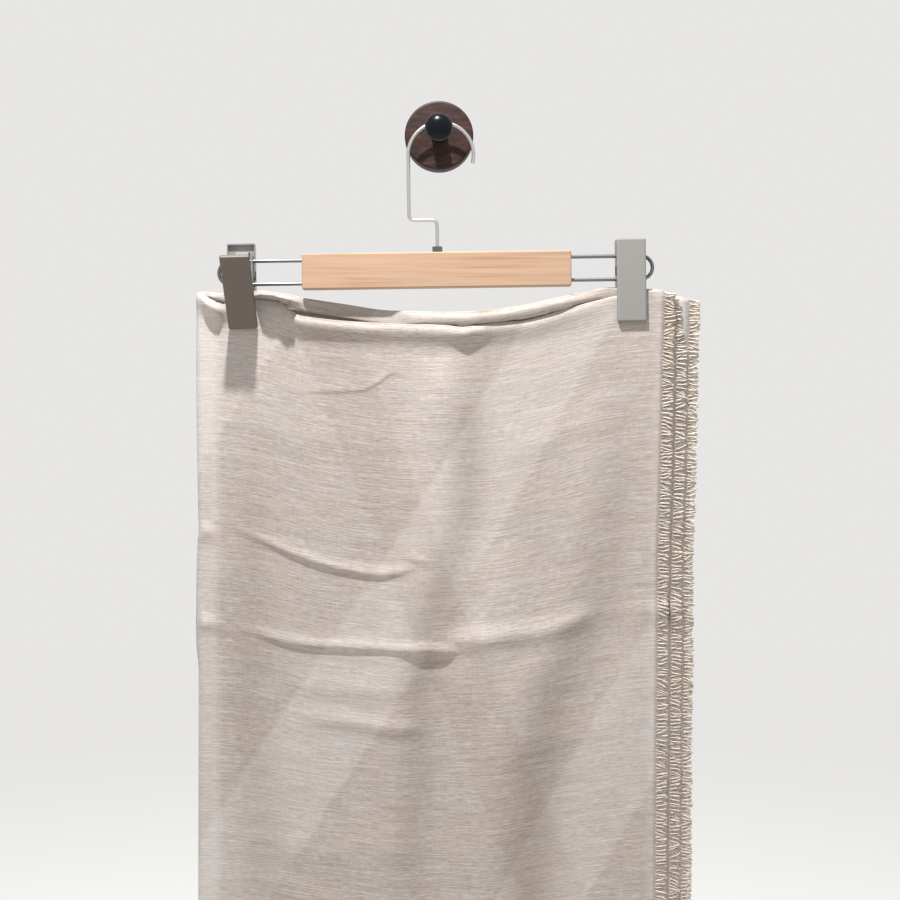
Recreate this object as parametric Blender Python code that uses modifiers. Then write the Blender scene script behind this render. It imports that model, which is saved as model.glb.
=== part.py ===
"""A fringed scarf folded twice and held by a clip hanger that hangs on a round wall peg.

Metres, +Z up. The wall is the plane Y = 0, the room lies at negative Y, and the origin is the
centre of the peg's back face. "Depth" is the distance in front of the wall, so Y = -depth.

The scarf is folded over at the top and then in half at its left side, which makes four plies.
The front ply wraps round the left fold, the two hidden inner plies are one solid that forks at
the top, and the rear ply hangs nearest the wall. The raw edges, with their short fringe, lie at
the right and along the hem.
"""

import math
import random

import bmesh
import bpy
from mathutils import Matrix, Vector

# Cloth: the cut's length, its wall and how it turns over at the top and round the left fold
CUT_LENGTH = 1.800
CLOTH_WALL = 0.0010
ROLL_RADIUS = 0.0013
TURN_DOWN = 0.0060
SEAM_GAP = 0.0003
FRONT_DEPTH = 0.0280
REAR_DEPTH = 0.0208
BUNDLE = 0.0072
FOLD_NOSE = 0.0045
FOLD_SWELL = 0.0010
FOLD_SWELL_WIDTH = 0.0090
SEAM_ACROSS = -0.1750
RIDGE_HEIGHT_LEFT = -0.1202
HEM_FRONT = RIDGE_HEIGHT_LEFT - CUT_LENGTH / 2.0
HEM_FRONT_INNER = HEM_FRONT - 0.0090
HEM_REAR_INNER = HEM_FRONT - 0.0130
HEM_REAR = HEM_FRONT - 0.0020

# How the top of each panel leans away from its hang, and swings back below
LEAN_LENGTH = 0.018
REBOUND = 0.30
REBOUND_DROP = 0.034

# Ridge of the front panel: across, height, depth
FRONT_RIDGE = (
    (-0.1830, -0.1202, 0.0280),
    (-0.1622, -0.1312, 0.0280),
    (-0.1380, -0.1285, 0.0280),
    (-0.1067, -0.1396, 0.0310),
    (-0.0690, -0.1437, 0.0340),
    (-0.0286, -0.1456, 0.0350),
    (0.0060, -0.1474, 0.0355),
    (0.0182, -0.1502, 0.0335),
    (0.0300, -0.1474, 0.0350),
    (0.0612, -0.1433, 0.0345),
    (0.1020, -0.1326, 0.0315),
    (0.1337, -0.1248, 0.0280),
    (0.1684, -0.1202, 0.0280),
)

# Ridge of the rear panel: across, height, depth
REAR_RIDGE = (
    (-0.1830, -0.1202, 0.0208),
    (-0.1642, -0.1225, 0.0208),
    (-0.1404, -0.1210, 0.0208),
    (-0.1051, -0.1253, 0.0150),
    (-0.0721, -0.1301, 0.0130),
    (-0.0399, -0.1348, 0.0140),
    (-0.0150, -0.1358, 0.0220),
    (0.0130, -0.1365, 0.0260),
    (0.0426, -0.1346, 0.0265),
    (0.0866, -0.1264, 0.0255),
    (0.1313, -0.1176, 0.0208),
    (0.1860, -0.1200, 0.0200),
)

# Left fold: height, leftmost place across
FOLD_LINE = (
    (-1.0200, -0.1826),
    (-0.5833, -0.1827),
    (-0.4085, -0.1823),
    (-0.3857, -0.1842),
    (-0.3553, -0.1842),
    (-0.3096, -0.1831),
    (-0.3020, -0.1820),
    (-0.2906, -0.1827),
    (-0.1652, -0.1842),
    (-0.1196, -0.1838),
)

# Right edge of the front ply: height, place across; the other plies stand out past it
RIGHT_EDGE = (
    (-1.0200, 0.1630),
    (-0.5824, 0.1632),
    (-0.5065, 0.1636),
    (-0.3852, 0.1647),
    (-0.3246, 0.1651),
    (-0.2791, 0.1666),
    (-0.2184, 0.1681),
    (-0.1653, 0.1692),
    (-0.1198, 0.1704),
)
EDGE_STEP_FRONT_INNER = 0.0098
EDGE_STEP_REAR_INNER = 0.0200
EDGE_STEP_REAR = 0.0150

# Creases: a ridge line (across, height) and how far it stands out (across, rise)
FRONT_CREASES = (
    {
        "line": (
            (-0.1770, -0.2994), (-0.1580, -0.3001), (-0.1340, -0.3092), (-0.1127, -0.3183),
            (-0.0900, -0.3266), (-0.0673, -0.3319), (-0.0446, -0.3349), (-0.0257, -0.3327),
            (-0.0181, -0.3297),
        ),
        "rise": ((-0.1830, 0.0006), (-0.1650, 0.0), (-0.0900, 0.0050), (-0.0450, 0.0050), (-0.0150, 0.0)),
        "rows_above": 3,
    },
    {
        "line": (
            (-0.1809, -0.3683), (-0.1642, -0.3698), (-0.1468, -0.3773), (-0.1279, -0.3826),
            (-0.1052, -0.3879), (-0.0711, -0.3898), (-0.0295, -0.3917), (0.0084, -0.3940),
            (0.0311, -0.3910), (0.0614, -0.3864), (0.0917, -0.3804), (0.1182, -0.3720),
            (0.1409, -0.3667), (0.1650, -0.3637),
        ),
        "rise": (
            (-0.1830, 0.0030), (-0.1600, 0.0010), (-0.1050, 0.0045), (0.0084, 0.0045),
            (0.0600, 0.0050), (0.0900, 0.0050), (0.1300, 0.0015), (0.1600, 0.0025),
        ),
        "rows_above": 1,
    },
    {
        "line": (
            (-0.1453, -0.4326), (-0.1052, -0.4349), (-0.0825, -0.4394), (-0.0446, -0.4447),
            (-0.0105, -0.4477),
        ),
        "rise": ((-0.1500, 0.0), (-0.0900, 0.0018), (-0.0446, 0.0018), (-0.0100, 0.0)),
        "rows_above": 1,
    },
    {
        "line": ((-0.1700, -0.7000), (-0.0700, -0.7120), (0.0300, -0.7060), (0.1500, -0.6900)),
        "rise": ((-0.1830, 0.0015), (-0.1000, 0.0035), (0.0200, 0.0010), (0.1000, 0.0030), (0.1600, 0.0)),
        "rows_above": 4,
    },
)
REAR_CREASES = (
    {
        "line": ((-0.1700, -0.3380), (-0.0600, -0.3520), (0.0600, -0.3430), (0.1700, -0.3300)),
        "rise": ((-0.1700, 0.0), (-0.0800, -0.0030), (0.0100, -0.0008), (0.0900, -0.0034), (0.1600, 0.0)),
        "rows_above": 4,
    },
    {
        "line": ((-0.1700, -0.5600), (-0.0400, -0.5760), (0.1000, -0.5640), (0.1700, -0.5520)),
        "rise": ((-0.1700, -0.0010), (-0.0500, -0.0034), (0.0600, -0.0020), (0.1600, 0.0)),
        "rows_above": 3,
    },
)
CREASE_REACH_ABOVE = 0.0055
CREASE_REACH_BELOW = 0.0038
CREASE_ROWS = (0.0085, 0.0040, 0.0, -0.0032, -0.0080)

# Soft upright waves that run through all four plies: the crest's path as height, place across
WAVES = (
    {
        "path": (
            (-1.0300, -0.0360), (-0.5680, -0.0311), (-0.4312, -0.0311), (-0.3552, -0.0144),
            (-0.2792, 0.0046), (-0.1728, 0.0099),
        ),
        "rise": 0.0048, "width": 0.0200, "trough": 0.0290, "starts": 0.010, "grows": 0.070,
    },
    {
        "path": (
            (-1.0300, 0.0450), (-0.5832, 0.0388), (-0.5072, 0.0441), (-0.4312, 0.0654),
            (-0.3552, 0.0996), (-0.2336, 0.1148),
        ),
        "rise": 0.0046, "width": 0.0230, "trough": 0.0400, "starts": 0.060, "grows": 0.110,
    },
    {
        "path": ((-1.0300, -0.1150), (-0.6500, -0.1080)),
        "rise": 0.0030, "width": 0.0240, "trough": 0.0380, "starts": 0.420, "grows": 0.200,
    },
)
TROUGH_SHARE = 0.55
EDGE_CALM_START = 0.1380
EDGE_CALM_WIDTH = 0.0270

# Grids of the cloth: columns across the panel, steps round the nose, rows near the ridge
COLUMNS = 20
NOSE_STEPS = 5
ROLL_STEPS = 5
RIDGE_DROPS = (0.0013, 0.0065, 0.0130, 0.0210, 0.0310, 0.0430)
HEM_ROWS = 5
FORK_ROWS = 3
FORK_DROPS = (0.0090, 0.0180, 0.0280, 0.0400, 0.0600)
UPPER_ROWS = 10
UPPER_FOOT = -0.6000
LOWER_ROWS = 4
PRONG_GAP = 0.0010
INNER_OFFSET = 0.0023
FORK_LEAST = 0.0080
FORK_SLOPE = 3.2
FORK_OPENING = 0.0070

# Fringe: a strip fused to the roots of its locks, parted from the cloth's edge
FRINGE_ROOM = 0.0020
FRINGE_GAP = 0.0004
STRIP_WIDTH = FRINGE_ROOM - FRINGE_GAP
LOCK_LENGTH = 0.0085
LOCK_TAPER = 0.55
SIDE_LOCKS = 30

# Hanger: it lies in one upright plane and tips a little about the peg's axis
HANGER_DEPTH = 0.0245
HANGER_TIP = math.radians(-0.8)
WIRE_RADIUS = 0.0014
WIRE_HOLE_RADIUS = 0.00175
BAR_LENGTH = 0.2040
BAR_HEIGHT = 0.0270
BAR_THICKNESS = 0.0120
BAR_CENTRE = (-0.0032, -0.1046)
BAR_EDGE = 0.0010
RAIL_SPACING = 0.0176
RAIL_LEFT = -0.1686
RAIL_RIGHT = 0.1608
HOOK_ARC_RADIUS = 0.02485
HOOK_ARC_ACROSS = 0.0012
HOOK_END_ANGLE = math.radians(-15.0)
HOOK_STEM_ACROSS = -0.0024
HOOK_SHELF_HEIGHT = -0.0664
HOOK_BEND = 0.0040
HOOK_STEM_END = -0.0935
NUT_RADIUS = 0.0041
NUT_HEIGHT = 0.0042

# Spring clips: pans of sheet metal in front and behind, a saddle on the rails and a bent spring
PLATE_WIDTH = 0.0220
PLATE_HEIGHT = 0.0630
PLATE_DEPTH = 0.0032
PLATE_CORNER = 0.0012
SHEET = 0.0010
REAR_RIM_DEPTH = 0.0197
FRONT_RIM_DEPTH = 0.0288
SADDLE_WIDTH = 0.0180
SADDLE_TOP = -0.0916
SADDLE_FOOT = -0.1165
SADDLE_FRONT_DEPTH = 0.0280
SPRING_WIDTH = 0.0095
SPRING_THICKNESS = 0.0008
CLIPS = (
    {
        "side": "left", "across": -0.1500, "tilt": math.radians(36.0), "roll": math.radians(-0.9),
        "front_foot": -0.1461, "rear_across": -0.1518, "rear_roll": math.radians(-0.5),
        "rear_foot": -0.1446,
        "spring": (
            (0.02005, -0.1030, 0.0), (0.02005, -0.0840, 0.0060), (0.05870, -0.1074, 0.0030),
            (0.04755, -0.12274, 0.0),
        ),
    },
    {
        "side": "right", "across": 0.1441, "tilt": 0.0, "roll": 0.0,
        "front_foot": -0.1459, "rear_across": 0.1441, "rear_roll": 0.0, "rear_foot": -0.1456,
        "spring": (
            (0.02005, -0.1030, 0.0), (0.02005, -0.0870, 0.0042), (0.02880, -0.0870, 0.0042),
            (0.02895, -0.1030, 0.0),
        ),
    },
)

# Wall peg: a turned disc and a turned pin with a knob
DISC_RADIUS = 0.0264
DISC_THICKNESS = 0.0150
DISC_ROUND = 0.0018
PIN_RADIUS = 0.0061
KNOB_RADIUS = 0.0105
KNOB_HALF_DEPTH = 0.0075
KNOB_CENTRE = 0.0460
TURNED_STEPS = 32

# Finishes: red, green, blue as shown on a screen, then roughness and metallic
FINISHES = {
    "cloth": ((196, 186, 178), 0.85, 0.0),
    "fringe": ((205, 197, 190), 0.85, 0.0),
    "maple": ((222, 182, 150), 0.55, 0.0),
    "walnut": ((84, 44, 34), 0.50, 0.0),
    "black": ((18, 20, 24), 0.25, 0.0),
    "wire": ((176, 178, 180), 0.30, 1.0),
    "plate": ((160, 160, 158), 0.42, 1.0),
}


def smooth_curve(points):
    """A function that runs smoothly through (place, value) points and is flat beyond them."""
    places = [point[0] for point in points]
    values = [point[1] for point in points]
    runs = [after - before for before, after in zip(places, places[1:])]
    slopes = [(after - before) / run for before, after, run in zip(values, values[1:], runs)]
    tangents = [0.0]
    for before, after in zip(slopes, slopes[1:]):
        tangents.append(2.0 * before * after / (before + after) if before * after > 0.0 else 0.0)
    tangents.append(0.0)

    def value_at(place):
        if place <= places[0]:
            return values[0]
        if place >= places[-1]:
            return values[-1]
        index = max(number for number, start in enumerate(places[:-1]) if start <= place)
        run = runs[index]
        part = (place - places[index]) / run
        start_weight = (1.0 + 2.0 * part) * (1.0 - part) ** 2
        start_turn = part * (1.0 - part) ** 2
        end_weight = part ** 2 * (3.0 - 2.0 * part)
        end_turn = part ** 2 * (part - 1.0)
        level = start_weight * values[index] + end_weight * values[index + 1]
        return level + run * (start_turn * tangents[index] + end_turn * tangents[index + 1])

    return value_at


def smooth_step(part):
    """0 before the start, 1 after the end, and an even ramp between."""
    part = min(max(part, 0.0), 1.0)
    return part * part * (3.0 - 2.0 * part)


def soft_least(one, other, softness=0.0003):
    """The lesser of two depths, rounded where they cross."""
    least = min(one, other)
    return least - softness * math.log(1.0 + math.exp(-abs(one - other) / softness))


front_ridge_height = smooth_curve([(across, height) for across, height, _ in FRONT_RIDGE])
front_ridge_depth = smooth_curve([(across, depth) for across, _, depth in FRONT_RIDGE])
rear_ridge_height = smooth_curve([(across, height) for across, height, _ in REAR_RIDGE])
rear_ridge_depth = smooth_curve([(across, depth) for across, _, depth in REAR_RIDGE])
fold_line = smooth_curve(FOLD_LINE)
right_edge = smooth_curve(RIGHT_EDGE)
wave_paths = [smooth_curve(wave["path"]) for wave in WAVES]


def crease_curves(creases):
    """Each crease's line and rise as smooth functions of the place across."""
    return [(smooth_curve(crease["line"]), smooth_curve(crease["rise"])) for crease in creases]


front_crease_curves = crease_curves(FRONT_CREASES)
rear_crease_curves = crease_curves(REAR_CREASES)


def lean(below):
    """Share of the ridge's reach that is left at a distance below the ridge."""
    ahead = math.exp(-(below / LEAN_LENGTH) ** 2)
    return ahead - REBOUND * math.exp(-((below - REBOUND_DROP) / LEAN_LENGTH) ** 2)


def wave_depth(across, height):
    """How far the soft upright waves push the cloth forward; they die out at the right edge."""
    below = RIDGE_HEIGHT_LEFT - height
    strength = 1.0 - smooth_step((across - EDGE_CALM_START) / EDGE_CALM_WIDTH)
    total = 0.0
    for wave, path in zip(WAVES, wave_paths):
        growth = smooth_step((below - wave["starts"]) / wave["grows"])
        offset = across - path(height)
        crest = math.exp(-(offset / wave["width"]) ** 2)
        trough = math.exp(-((offset - wave["trough"]) / wave["width"]) ** 2)
        total += growth * wave["rise"] * (crest - TROUGH_SHARE * trough)
    return strength * total


def crease_depth(curves, across, height):
    """How far the creases push the cloth out; each is steeper below its ridge than above."""
    total = 0.0
    for line, rise in curves:
        offset = height - line(across)
        reach = CREASE_REACH_ABOVE if offset > 0.0 else CREASE_REACH_BELOW
        total += rise(across) * math.exp(-(offset / reach) ** 2)
    return total


def fold_swell(across, height):
    """How much each panel stands off its middle beside the left fold."""
    return FOLD_SWELL * math.exp(-((across - fold_line(height)) / FOLD_SWELL_WIDTH) ** 2)


def hang_of_front(across, height):
    """Depth of the front ply's middle without creases or the swell at the fold."""
    below = front_ridge_height(across) - height
    reach = front_ridge_depth(across) - FRONT_DEPTH
    return FRONT_DEPTH + reach * lean(below) + wave_depth(across, height)


def front_depth(across, height, creased=True):
    """Depth of the front ply's middle."""
    depth = hang_of_front(across, height) + fold_swell(across, height)
    return depth + crease_depth(front_crease_curves, across, height) if creased else depth


def rear_depth(across, height, creased=True):
    """Depth of the rear ply's middle, which keeps room for the plies in front of it."""
    below = rear_ridge_height(across) - height
    reach = rear_ridge_depth(across) - REAR_DEPTH
    own = REAR_DEPTH + reach * lean(below) + wave_depth(across, height)
    depth = soft_least(own, hang_of_front(across, height) - BUNDLE) - fold_swell(across, height)
    return depth + crease_depth(rear_crease_curves, across, height) if creased else depth


def nose_across(height):
    """Where the front ply starts to turn round the left fold."""
    return fold_line(height) + FOLD_NOSE


def row_heights(across, ridge, creases, curves, hem):
    """Heights of one column's rows from ridge to hem, close together where a crease crosses."""
    rows = [ridge - drop for drop in RIDGE_DROPS]
    for crease, (line, _) in zip(creases, curves):
        crest = line(across)
        first = crest + CREASE_ROWS[0]
        last = rows[-1]
        spans = crease["rows_above"] + 1
        rows += [last + (first - last) * step / spans for step in range(1, spans)]
        rows += [crest + offset for offset in CREASE_ROWS]
    last = rows[-1]
    rows += [last + (hem - last) * step / HEM_ROWS for step in range(1, HEM_ROWS + 1)]
    return rows


def turned_over(ridge, rows):
    """Rows of a ply that comes up, rolls over its ridge and goes down a little way inside.

    Each row is a height at which the hang is read, a height and a distance inward."""
    inner = 2.0 * ROLL_RADIUS
    stations = [(ridge - ROLL_RADIUS, ridge - TURN_DOWN, inner)]
    for step in range(ROLL_STEPS):
        angle = math.pi * step / ROLL_STEPS
        height = ridge - ROLL_RADIUS + ROLL_RADIUS * math.sin(angle)
        inward = ROLL_RADIUS * (1.0 + math.cos(angle))
        stations.append((ridge - ROLL_RADIUS, height, inward))
    return stations + [(height, height, 0.0) for height in rows]


def panel_across(share, height, reach=0.0):
    """Place across of a column: share 0 at the nose, 1 at the panel's right end."""
    left = nose_across(height)
    right = right_edge(height) + reach - FRINGE_ROOM
    return left + share * (right - left)


def front_stations():
    """Columns of the front ply from its right end, round the nose, to the seam behind."""
    flat = [("front", 1.0 - column / COLUMNS) for column in range(COLUMNS + 1)]
    nose = [("nose", math.pi * step / NOSE_STEPS) for step in range(1, NOSE_STEPS + 1)]
    return flat + nose + [("lap", SEAM_ACROSS)]


def front_point(kind, value, level, height, inward):
    """A point of the front ply; level is the height at which its hang is read."""
    if kind == "front":
        across = panel_across(value, level)
        return Vector((across, -(front_depth(across, level) - inward), height))
    centre = nose_across(level)
    front = front_depth(centre, level)
    rear = rear_depth(centre, level)
    if kind == "lap":
        return Vector((value, -(rear_depth(value, level) + inward), height))
    reach = FOLD_NOSE - inward
    half = (front - rear) / 2.0 - inward
    across = centre - reach * math.sin(value)
    return Vector((across, -((front + rear) / 2.0 + half * math.cos(value)), height))


def finish(name, key):
    """A plain material with the colour, roughness and metallic value of a finish."""
    colour, roughness, metallic = FINISHES[key]
    linear = [((value / 255.0 + 0.055) / 1.055) ** 2.4 for value in colour]
    material = bpy.data.materials.new(name + "_finish")
    material.use_nodes = True
    shader = material.node_tree.nodes["Principled BSDF"]
    shader.inputs["Base Color"].default_value = (*linear, 1.0)
    shader.inputs["Roughness"].default_value = roughness
    shader.inputs["Metallic"].default_value = metallic
    return material


def add_object(name, data, key, parent=None):
    """A named object with its own material in the part's collection."""
    thing = bpy.data.objects.new(name, data)
    data.materials.append(finish(name, key))
    parts.objects.link(thing)
    thing.parent = parent
    return thing


def mesh_from(name, source, smooth=True):
    """A mesh data block from a bmesh, shaded smooth but for its sharp edges."""
    data = bpy.data.meshes.new(name)
    source.to_mesh(data)
    source.free()
    if smooth:
        data.shade_smooth()
        data.set_sharp_from_angle(angle=math.radians(40.0))
    return data


def thicken(thing, wall, offset):
    """Turn an open surface into a wall."""
    modifier = thing.modifiers.new("Wall", "SOLIDIFY")
    modifier.thickness = wall
    modifier.offset = offset
    modifier.use_even_offset = True


def sheet_from_rings(name, rings, key, wall=CLOTH_WALL, parent=None):
    """A wall of even thickness on a grid whose columns are the given rings of points."""
    grid = bmesh.new()
    columns = len(rings)
    rows = len(rings[0])
    bmesh.ops.create_grid(grid, x_segments=columns - 1, y_segments=rows - 1, size=0.5)
    for vertex in grid.verts:
        column = round((vertex.co.x + 0.5) * (columns - 1))
        row = round((vertex.co.y + 0.5) * (rows - 1))
        vertex.co = rings[column][row]
    thing = add_object(name, mesh_from(name, grid), key, parent)
    thicken(thing, wall, 0.0)
    return thing


def make_front_ply():
    """The ply that shows, from its right edge to the seam behind the left fold."""
    rings = []
    for kind, value in front_stations():
        guide = panel_across(value, FRONT_RIDGE[0][1]) if kind == "front" else nose_across(RIDGE_HEIGHT_LEFT)
        turn = {"front": 0.0, "nose": value / math.pi, "lap": 1.0}[kind]
        ridge = (1.0 - turn) * front_ridge_height(guide) + turn * rear_ridge_height(guide)
        rows = row_heights(guide, ridge, FRONT_CREASES, front_crease_curves, HEM_FRONT + FRINGE_ROOM)
        rings.append([front_point(kind, value, *station) for station in turned_over(ridge, rows)])
    sheet_from_rings("front_ply", rings, "cloth")


def make_rear_ply():
    """The ply next to the wall, from the seam behind the left fold to its right edge."""
    rings = []
    for column in range(COLUMNS + 2):
        share = column / COLUMNS
        guide = panel_across(min(share, 1.0), RIDGE_HEIGHT_LEFT)
        if column > COLUMNS:
            guide = panel_across(1.0, RIDGE_HEIGHT_LEFT, EDGE_STEP_REAR)
        ridge = rear_ridge_height(guide)
        rows = row_heights(guide, ridge, REAR_CREASES, rear_crease_curves, HEM_REAR + FRINGE_ROOM)
        ring = []
        for level, height, inward in turned_over(ridge, rows):
            across = panel_across(min(share, 1.0), level)
            if column == 0:
                across = SEAM_ACROSS + SEAM_GAP
            if column > COLUMNS:
                across = panel_across(1.0, level, EDGE_STEP_REAR)
            ring.append(Vector((across, -(rear_depth(across, level) + inward), height)))
        rings.append(ring)
    sheet_from_rings("rear_ply", rings, "cloth")


def layered_solid(name, corner, filled, counts, key):
    """One closed solid from a block of cells, where filled tells which cells are cloth.

    Each cell side that no other filled cell covers becomes a face."""
    sides = (
        ((-1, 0, 0), ((0, 0, 0), (0, 0, 1), (0, 1, 1), (0, 1, 0))),
        ((1, 0, 0), ((1, 0, 0), (1, 1, 0), (1, 1, 1), (1, 0, 1))),
        ((0, -1, 0), ((0, 0, 0), (1, 0, 0), (1, 0, 1), (0, 0, 1))),
        ((0, 1, 0), ((0, 1, 0), (0, 1, 1), (1, 1, 1), (1, 1, 0))),
        ((0, 0, -1), ((0, 0, 0), (0, 1, 0), (1, 1, 0), (1, 0, 0))),
        ((0, 0, 1), ((0, 0, 1), (1, 0, 1), (1, 1, 1), (0, 1, 1))),
    )
    solid = bmesh.new()
    made = {}
    for cell in [(i, j, k) for i in range(counts[0]) for j in range(counts[1]) for k in range(counts[2])]:
        if not filled(*cell):
            continue
        for step, corners in sides:
            if filled(*(place + move for place, move in zip(cell, step))):
                continue
            keys = [tuple(place + move for place, move in zip(cell, move)) for move in corners]
            for place in keys:
                if place not in made:
                    made[place] = solid.verts.new(corner(*place))
            solid.faces.new([made[place] for place in keys])
    bmesh.ops.recalc_face_normals(solid, faces=solid.faces)
    return add_object(name, mesh_from(name, solid), key)


def make_inner_plies():
    """The two hidden plies: apart at the top, joined below, stepped at the right and at the hem.

    Four sheets of points, front to back, bound the front inner ply, the core and the rear one."""
    nose_angles = (math.radians(75.0), math.radians(40.0))
    noses = len(nose_angles)
    front_end = noses + COLUMNS + 1
    rear_end = front_end + 1
    close_rows = FORK_ROWS + len(FORK_DROPS)
    rows = close_rows + UPPER_ROWS + LOWER_ROWS + 1
    top_drop = TURN_DOWN + PRONG_GAP

    def across_at(column, height):
        if column < noses:
            reach = FOLD_NOSE - INNER_OFFSET
            return nose_across(height) - reach * math.sin(nose_angles[column])
        if column <= noses + COLUMNS:
            return panel_across((column - noses) / COLUMNS, height)
        reach = EDGE_STEP_FRONT_INNER if column == front_end else EDGE_STEP_REAR_INNER
        return panel_across(1.0, height, reach)

    def height_at(column, row, behind):
        guide = max(across_at(column, RIDGE_HEIGHT_LEFT), nose_across(RIDGE_HEIGHT_LEFT))
        front = front_ridge_height(guide)
        rear = rear_ridge_height(guide)
        opening = front_ridge_depth(guide) - rear_ridge_depth(guide)
        fork = min(front, rear) - FORK_LEAST - FORK_SLOPE * max(opening - FORK_OPENING, 0.0)
        if row <= FORK_ROWS:
            top = (rear if behind else front) - top_drop
            return top + (fork - top) * row / FORK_ROWS
        hem = HEM_FRONT_INNER + FRINGE_ROOM
        if row == rows:
            return HEM_REAR_INNER + FRINGE_ROOM
        if row <= close_rows:
            return fork - FORK_DROPS[row - FORK_ROWS - 1]
        last = fork - FORK_DROPS[-1]
        if row <= close_rows + UPPER_ROWS:
            return last + (UPPER_FOOT - last) * (row - close_rows) / UPPER_ROWS
        return UPPER_FOOT + (hem - UPPER_FOOT) * (row - close_rows - UPPER_ROWS) / LOWER_ROWS

    def corner(column, row, sheet):
        behind = sheet >= 2
        height = height_at(column, row, behind)
        across = across_at(column, height)
        reading = max(across, nose_across(height))
        front = front_depth(reading, height, creased=False)
        rear = rear_depth(reading, height, creased=False)
        offsets = (INNER_OFFSET, INNER_OFFSET + CLOTH_WALL)
        depth = rear + offsets[3 - sheet] if behind else front - offsets[sheet]
        if column < noses:
            middle = (front + rear) / 2.0
            depth = middle + (depth - middle) * math.cos(nose_angles[column])
        return Vector((across, -depth, height))

    def filled(column, row, layer):
        if column < 0 or row < 0 or layer not in (0, 1, 2):
            return False
        if layer == 2:
            return column < rear_end and row < rows
        if layer == 0:
            return column < front_end and row < rows - 1
        return column < front_end - 1 and row < rows - 1 and (row >= FORK_ROWS or column < 1)

    layered_solid("inner_plies", corner, filled, (rear_end, rows, 3), "cloth")


def make_fringe(name, locks, place, seed):
    """A strip along a raw edge with one tapered lock on each stretch of its outer side."""
    dice = random.Random(seed)
    comb = bmesh.new()
    bmesh.ops.create_cube(comb, size=1.0)
    long_edges = [edge for edge in comb.edges if abs(edge.verts[0].co.z - edge.verts[1].co.z) > 0.5]
    bmesh.ops.subdivide_edges(comb, edges=long_edges, cuts=locks - 1, use_grid_fill=True)
    comb.normal_update()
    outer = [face for face in comb.faces if face.normal.x > 0.9]
    tips = bmesh.ops.extrude_discrete_faces(comb, faces=outer)["faces"]
    for tip in tips:
        centre = tip.calc_center_median()
        reach = dice.uniform(0.85, 1.10)
        droop = dice.uniform(-0.20, 0.12) / locks
        for vertex in tip.verts:
            vertex.co = centre + (vertex.co - centre) * LOCK_TAPER
            vertex.co.x = 0.5 + reach
            vertex.co.z += droop
    for vertex in comb.verts:
        beyond = vertex.co.x - 0.5
        outward = beyond * (LOCK_LENGTH if beyond > 0.0 else STRIP_WIDTH)
        vertex.co = place(0.5 - vertex.co.z, outward, vertex.co.y * CLOTH_WALL)
    add_object(name, mesh_from(name, comb, smooth=False), "fringe")


def front_ply_depth(across, height):
    """Depth of the front ply without its creases."""
    return front_depth(across, height, creased=False)


def front_inner_depth(across, height):
    """Depth of the middle of the front inner ply."""
    return front_depth(across, height, creased=False) - INNER_OFFSET - CLOTH_WALL / 2.0


def rear_inner_depth(across, height):
    """Depth of the middle of the rear inner ply."""
    return rear_depth(across, height, creased=False) + INNER_OFFSET + CLOTH_WALL / 2.0


def rear_ply_depth(across, height):
    """Depth of the rear ply without its creases."""
    return rear_depth(across, height, creased=False)


def make_fringes():
    """Fringe down the right edge and along the hem of each of the four plies."""
    plies = (
        ("front", 0.0, HEM_FRONT, front_ply_depth, ROLL_RADIUS),
        ("front_inner", EDGE_STEP_FRONT_INNER, HEM_FRONT_INNER, front_inner_depth, TURN_DOWN + SEAM_GAP),
        ("rear_inner", EDGE_STEP_REAR_INNER, HEM_REAR_INNER, rear_inner_depth, TURN_DOWN + SEAM_GAP),
        ("rear", EDGE_STEP_REAR, HEM_REAR, rear_ply_depth, ROLL_RADIUS),
    )
    for number, (ply, step, hem, depth_at, drop) in enumerate(plies):
        ridge_height = front_ridge_height if ply.startswith("front") else rear_ridge_height

        def beside(along, outward, across_wall, step=step, hem=hem, depth_at=depth_at, drop=drop,
                   ridge_height=ridge_height):
            top = ridge_height(RIGHT_EDGE[-1][1] + step) - drop
            height = top + (hem - top) * along
            edge = right_edge(height) + step
            return Vector((edge + outward, across_wall - depth_at(edge, height), height))

        left = nose_across(hem)
        pitch = (right_edge(hem) - FRINGE_ROOM - left) / COLUMNS
        locks = COLUMNS + int(step / pitch)

        def below(along, outward, across_wall, reach=pitch * locks, left=left, hem=hem, depth_at=depth_at):
            across = left + reach * along
            return Vector((across, -depth_at(across, hem) - across_wall, hem - outward))

        make_fringe("fringe_side_" + ply, SIDE_LOCKS, beside, seed=number)
        make_fringe("fringe_hem_" + ply, locks, below, seed=10 + number)


def rounded_path(corners, steps=4):
    """Points of a path with each corner (one, other, radius) turned into an arc."""
    points = [Vector(corners[0][:2])]
    for before, corner, after in zip(corners, corners[1:], corners[2:]):
        tip = Vector(corner[:2])
        back = (Vector(before[:2]) - tip).normalized()
        ahead = (Vector(after[:2]) - tip).normalized()
        half = back.angle(ahead) / 2.0
        centre = tip + (back + ahead).normalized() * (corner[2] / math.sin(half))
        run = corner[2] / math.tan(half)
        start = tip + back * run - centre
        end = tip + ahead * run - centre
        for step in range(steps + 1):
            points.append(centre + start.slerp(end, step / steps).normalized() * corner[2])
    points.append(Vector(corners[-1][:2]))
    return points


def add_wire(name, points, key, parent, closed=False):
    """A round wire in the hanger's plane through (across, height) points."""
    curve = bpy.data.curves.new(name, "CURVE")
    curve.dimensions = "3D"
    curve.bevel_depth = WIRE_RADIUS
    curve.bevel_resolution = 2
    curve.use_fill_caps = not closed
    line = curve.splines.new("POLY")
    line.points.add(len(points) - 1)
    for target, (across, height) in zip(line.points, points):
        target.co = (across, 0.0, height, 1.0)
    line.use_cyclic_u = closed
    return add_object(name, curve, key, parent)


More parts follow.
